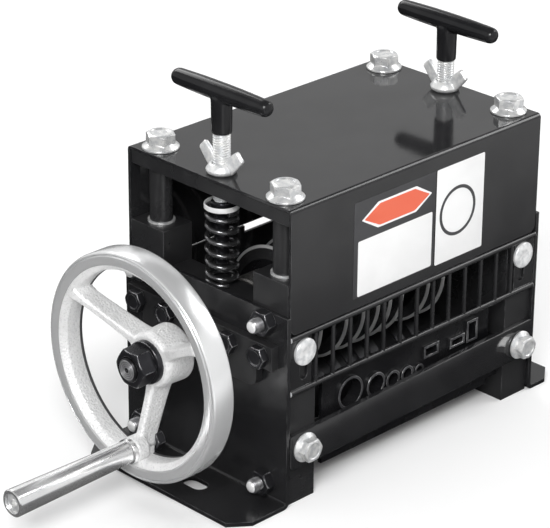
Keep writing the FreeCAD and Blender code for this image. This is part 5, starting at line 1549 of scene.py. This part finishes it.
@dataclass
class Studio:
    """The floor, the lamps, the pale surroundings and the camera."""

    azimuth: float = -45.03
    elevation: float = 24.82
    roll: float = 0.46
    distance: float = 1863.19 * MM
    focal_pixels: float = 2675.56
    target: tuple[float, float, float] = (-26.76 * MM, 28.53 * MM, 112.67 * MM)
    centre: tuple[float, float] = (279.07, 264.27)
    image: tuple[int, int] = (550, 528)
    floor_half: float = 9.0
    floor_thickness: float = 0.01
    floor_gap: float = 0.0001

    def camera(self) -> None:
        """Place the camera where the photograph was taken from."""
        az, el, roll = (math.radians(v) for v in (self.azimuth, self.elevation, self.roll))
        back = Vector((math.sin(az) * math.cos(el), -math.cos(az) * math.cos(el), math.sin(el)))
        right = Vector((math.cos(az), math.sin(az), 0))
        up = back.cross(right)
        side = right * math.cos(roll) + up * math.sin(roll)
        top = up * math.cos(roll) - right * math.sin(roll)
        eye = Vector(self.target) + back * self.distance
        data = bpy.data.cameras.new("camera")
        data.sensor_width = 36.0
        data.lens = self.focal_pixels * data.sensor_width / self.image[0]
        data.shift_x = (self.image[0] / 2 - self.centre[0]) / self.image[0]
        data.shift_y = (self.centre[1] - self.image[1] / 2) / self.image[0]
        data.clip_end = 50.0
        camera = linked("camera", data)
        camera.matrix_world = Matrix([(side[k], top[k], back[k], eye[k]) for k in range(3)] + [(0, 0, 0, 1)])
        bpy.context.scene.camera = camera

    def mirrored(self, graph: Graph) -> bpy.types.NodeSocket:
        """Shade the floor as it shows in black gloss faces.

        It is painted dim close to the object and towards its left, painted shade seen in reflections, and
        paler further out in front.
        One bright painted patch to the front left shows as a painted highlight in rounded parts.

        Args:
            graph: The floor material's nodes.

        Returns:
            The colour socket.
        """
        place = graph.place()
        parts = graph.add("ShaderNodeSeparateXYZ", {0: place})
        front = graph.math("MULTIPLY", parts.outputs["Y"], -1.0)
        left = graph.math("MULTIPLY", parts.outputs["X"], -1.0)
        # Painted shade in reflections: dim within about 0.14 m in front of the object and dimmer out to its
        # left.
        pale = graph.math("MULTIPLY", graph.range(front, 0.14, 0.46, 0.02, 0.62),
                          graph.range(left, 0.16, 0.40, 1.0, 0.20))
        # A bright painted patch to the front left, seen only in reflections, gives rounded parts a painted
        # highlight.
        bearing = graph.math("ARCTAN2", left, front)
        reach = graph.add("ShaderNodeVectorMath", {0: place}, operation="LENGTH").outputs["Value"]
        wedge = graph.math("MULTIPLY", graph.range(bearing, 0.42, 0.52, 0.0, 1.0),
                           graph.range(bearing, 0.78, 0.92, 1.0, 0.0))
        painted_reflection_patch = graph.math("MULTIPLY", wedge, graph.range(reach, 0.30, 0.38, 0.0, 0.9))
        shade = graph.math("MAXIMUM", pale, painted_reflection_patch)
        return graph.add("ShaderNodeCombineColor", {0: shade, 1: shade, 2: shade}).outputs[0]

    def floor(self) -> None:
        """Lay the pale floor."""
        half = self.floor_half
        shell = Shell()
        shell.plate([(-half, -half), (half, -half), (half, half), (-half, half)], self.floor_thickness)
        floor = shell.finish("studio_floor")
        floor.location.z = -self.floor_thickness - self.floor_gap
        material = bpy.data.materials.new("studio_floor")
        material.use_nodes = True
        graph = Graph(material.node_tree)
        shader = material.node_tree.nodes["Principled BSDF"]
        shader.inputs["Roughness"].default_value = 0.9
        shader.inputs["Specular IOR Level"].default_value = 0.05
        pale = graph.mix(graph.noise(3.0), (0.93, 0.93, 0.93), (0.95, 0.95, 0.95))
        # Glossy rays see the painted reflection shading in place of the pale floor.
        glossy = graph.add("ShaderNodeLightPath").outputs["Is Glossy Ray"]
        graph.link(graph.mix(glossy, pale, self.mirrored(graph)), shader.inputs["Base Color"])
        floor.data.materials.append(material)

    def lamp(self, name: str, spot: Sequence[float], aim_height: float, size: tuple[float, float],
             power: float) -> None:
        """Hang one soft rectangular lamp.

        Args:
            name: Its name.
            spot: Where it hangs.
            aim_height: The height over the middle of the floor that it points at.
            size: Its two sides.
            power: Its power in watts.
        """
        data = bpy.data.lights.new(name, "AREA")
        data.shape = "RECTANGLE"
        data.size, data.size_y = size
        data.energy = power
        lamp = linked(name, data)
        lamp.location = spot
        aim = Vector((0, 0, aim_height))
        lamp.rotation_euler = (Vector(spot) - aim).to_track_quat("Z", "Y").to_euler()

    def world(self) -> None:
        """Surround the object with a pale room that darkens overhead."""
        world = bpy.data.worlds.new("studio")
        world.use_nodes = True
        bpy.context.scene.world = world
        tree = world.node_tree
        tree.nodes.clear()
        graph = Graph(tree)
        way = graph.add("ShaderNodeTexCoord").outputs["Generated"]
        height = graph.add("ShaderNodeSeparateXYZ", {0: way}).outputs["Z"]
        overhead = graph.range(height, 0.50, 0.72, 0.72, 0.10)
        seen = graph.add("ShaderNodeLightPath")
        rays = graph.math("MAXIMUM", seen.outputs["Is Glossy Ray"], seen.outputs["Is Transmission Ray"])
        light, mirror, view = (
            graph.add("ShaderNodeBackground", {"Color": (1, 1, 1, 1), "Strength": strength}).outputs[0]
            for strength in (0.52, overhead, 1.0))
        room = graph.add("ShaderNodeMixShader", {0: rays, 1: light, 2: mirror}).outputs[0]
        camera = seen.outputs["Is Camera Ray"]
        shown = graph.add("ShaderNodeMixShader", {0: camera, 1: room, 2: view}).outputs[0]
        graph.add("ShaderNodeOutputWorld", {"Surface": shown})

    def build(self) -> None:
        """Set the stage."""
        self.camera()
        self.floor()
        self.world()
        self.lamp("key_lamp", (-1.78, -1.32, 1.72), 0.05, (1.1, 0.8), 56)
        self.lamp("fill_lamp", (1.9, -0.9, 1.7), 0.1, (1.2, 1.2), 22)
        self.lamp("back_lamp", (0.4, 2.2, 2.0), 0.1, (1.8, 0.9), 26)
        bpy.context.scene.view_settings.view_transform = "Standard"


def main() -> None:
    """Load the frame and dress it."""
    logging.basicConfig(level=logging.INFO, format="%(name)s: %(message)s")
    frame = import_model()
    Studio().build()
    for finish, nodes in NODE_FINISHES.items():
        for node in nodes:
            dress(frame, node, finish)
    Fasteners().build()
    FrontPlate().build()
    PressureHead("left", -1, 0.0).build()
    PressureHead("right", 1, 5.5 * MM).build()
    Handwheel().build()
    LabelPanels().build()


if __name__ == "__main__":
    main()
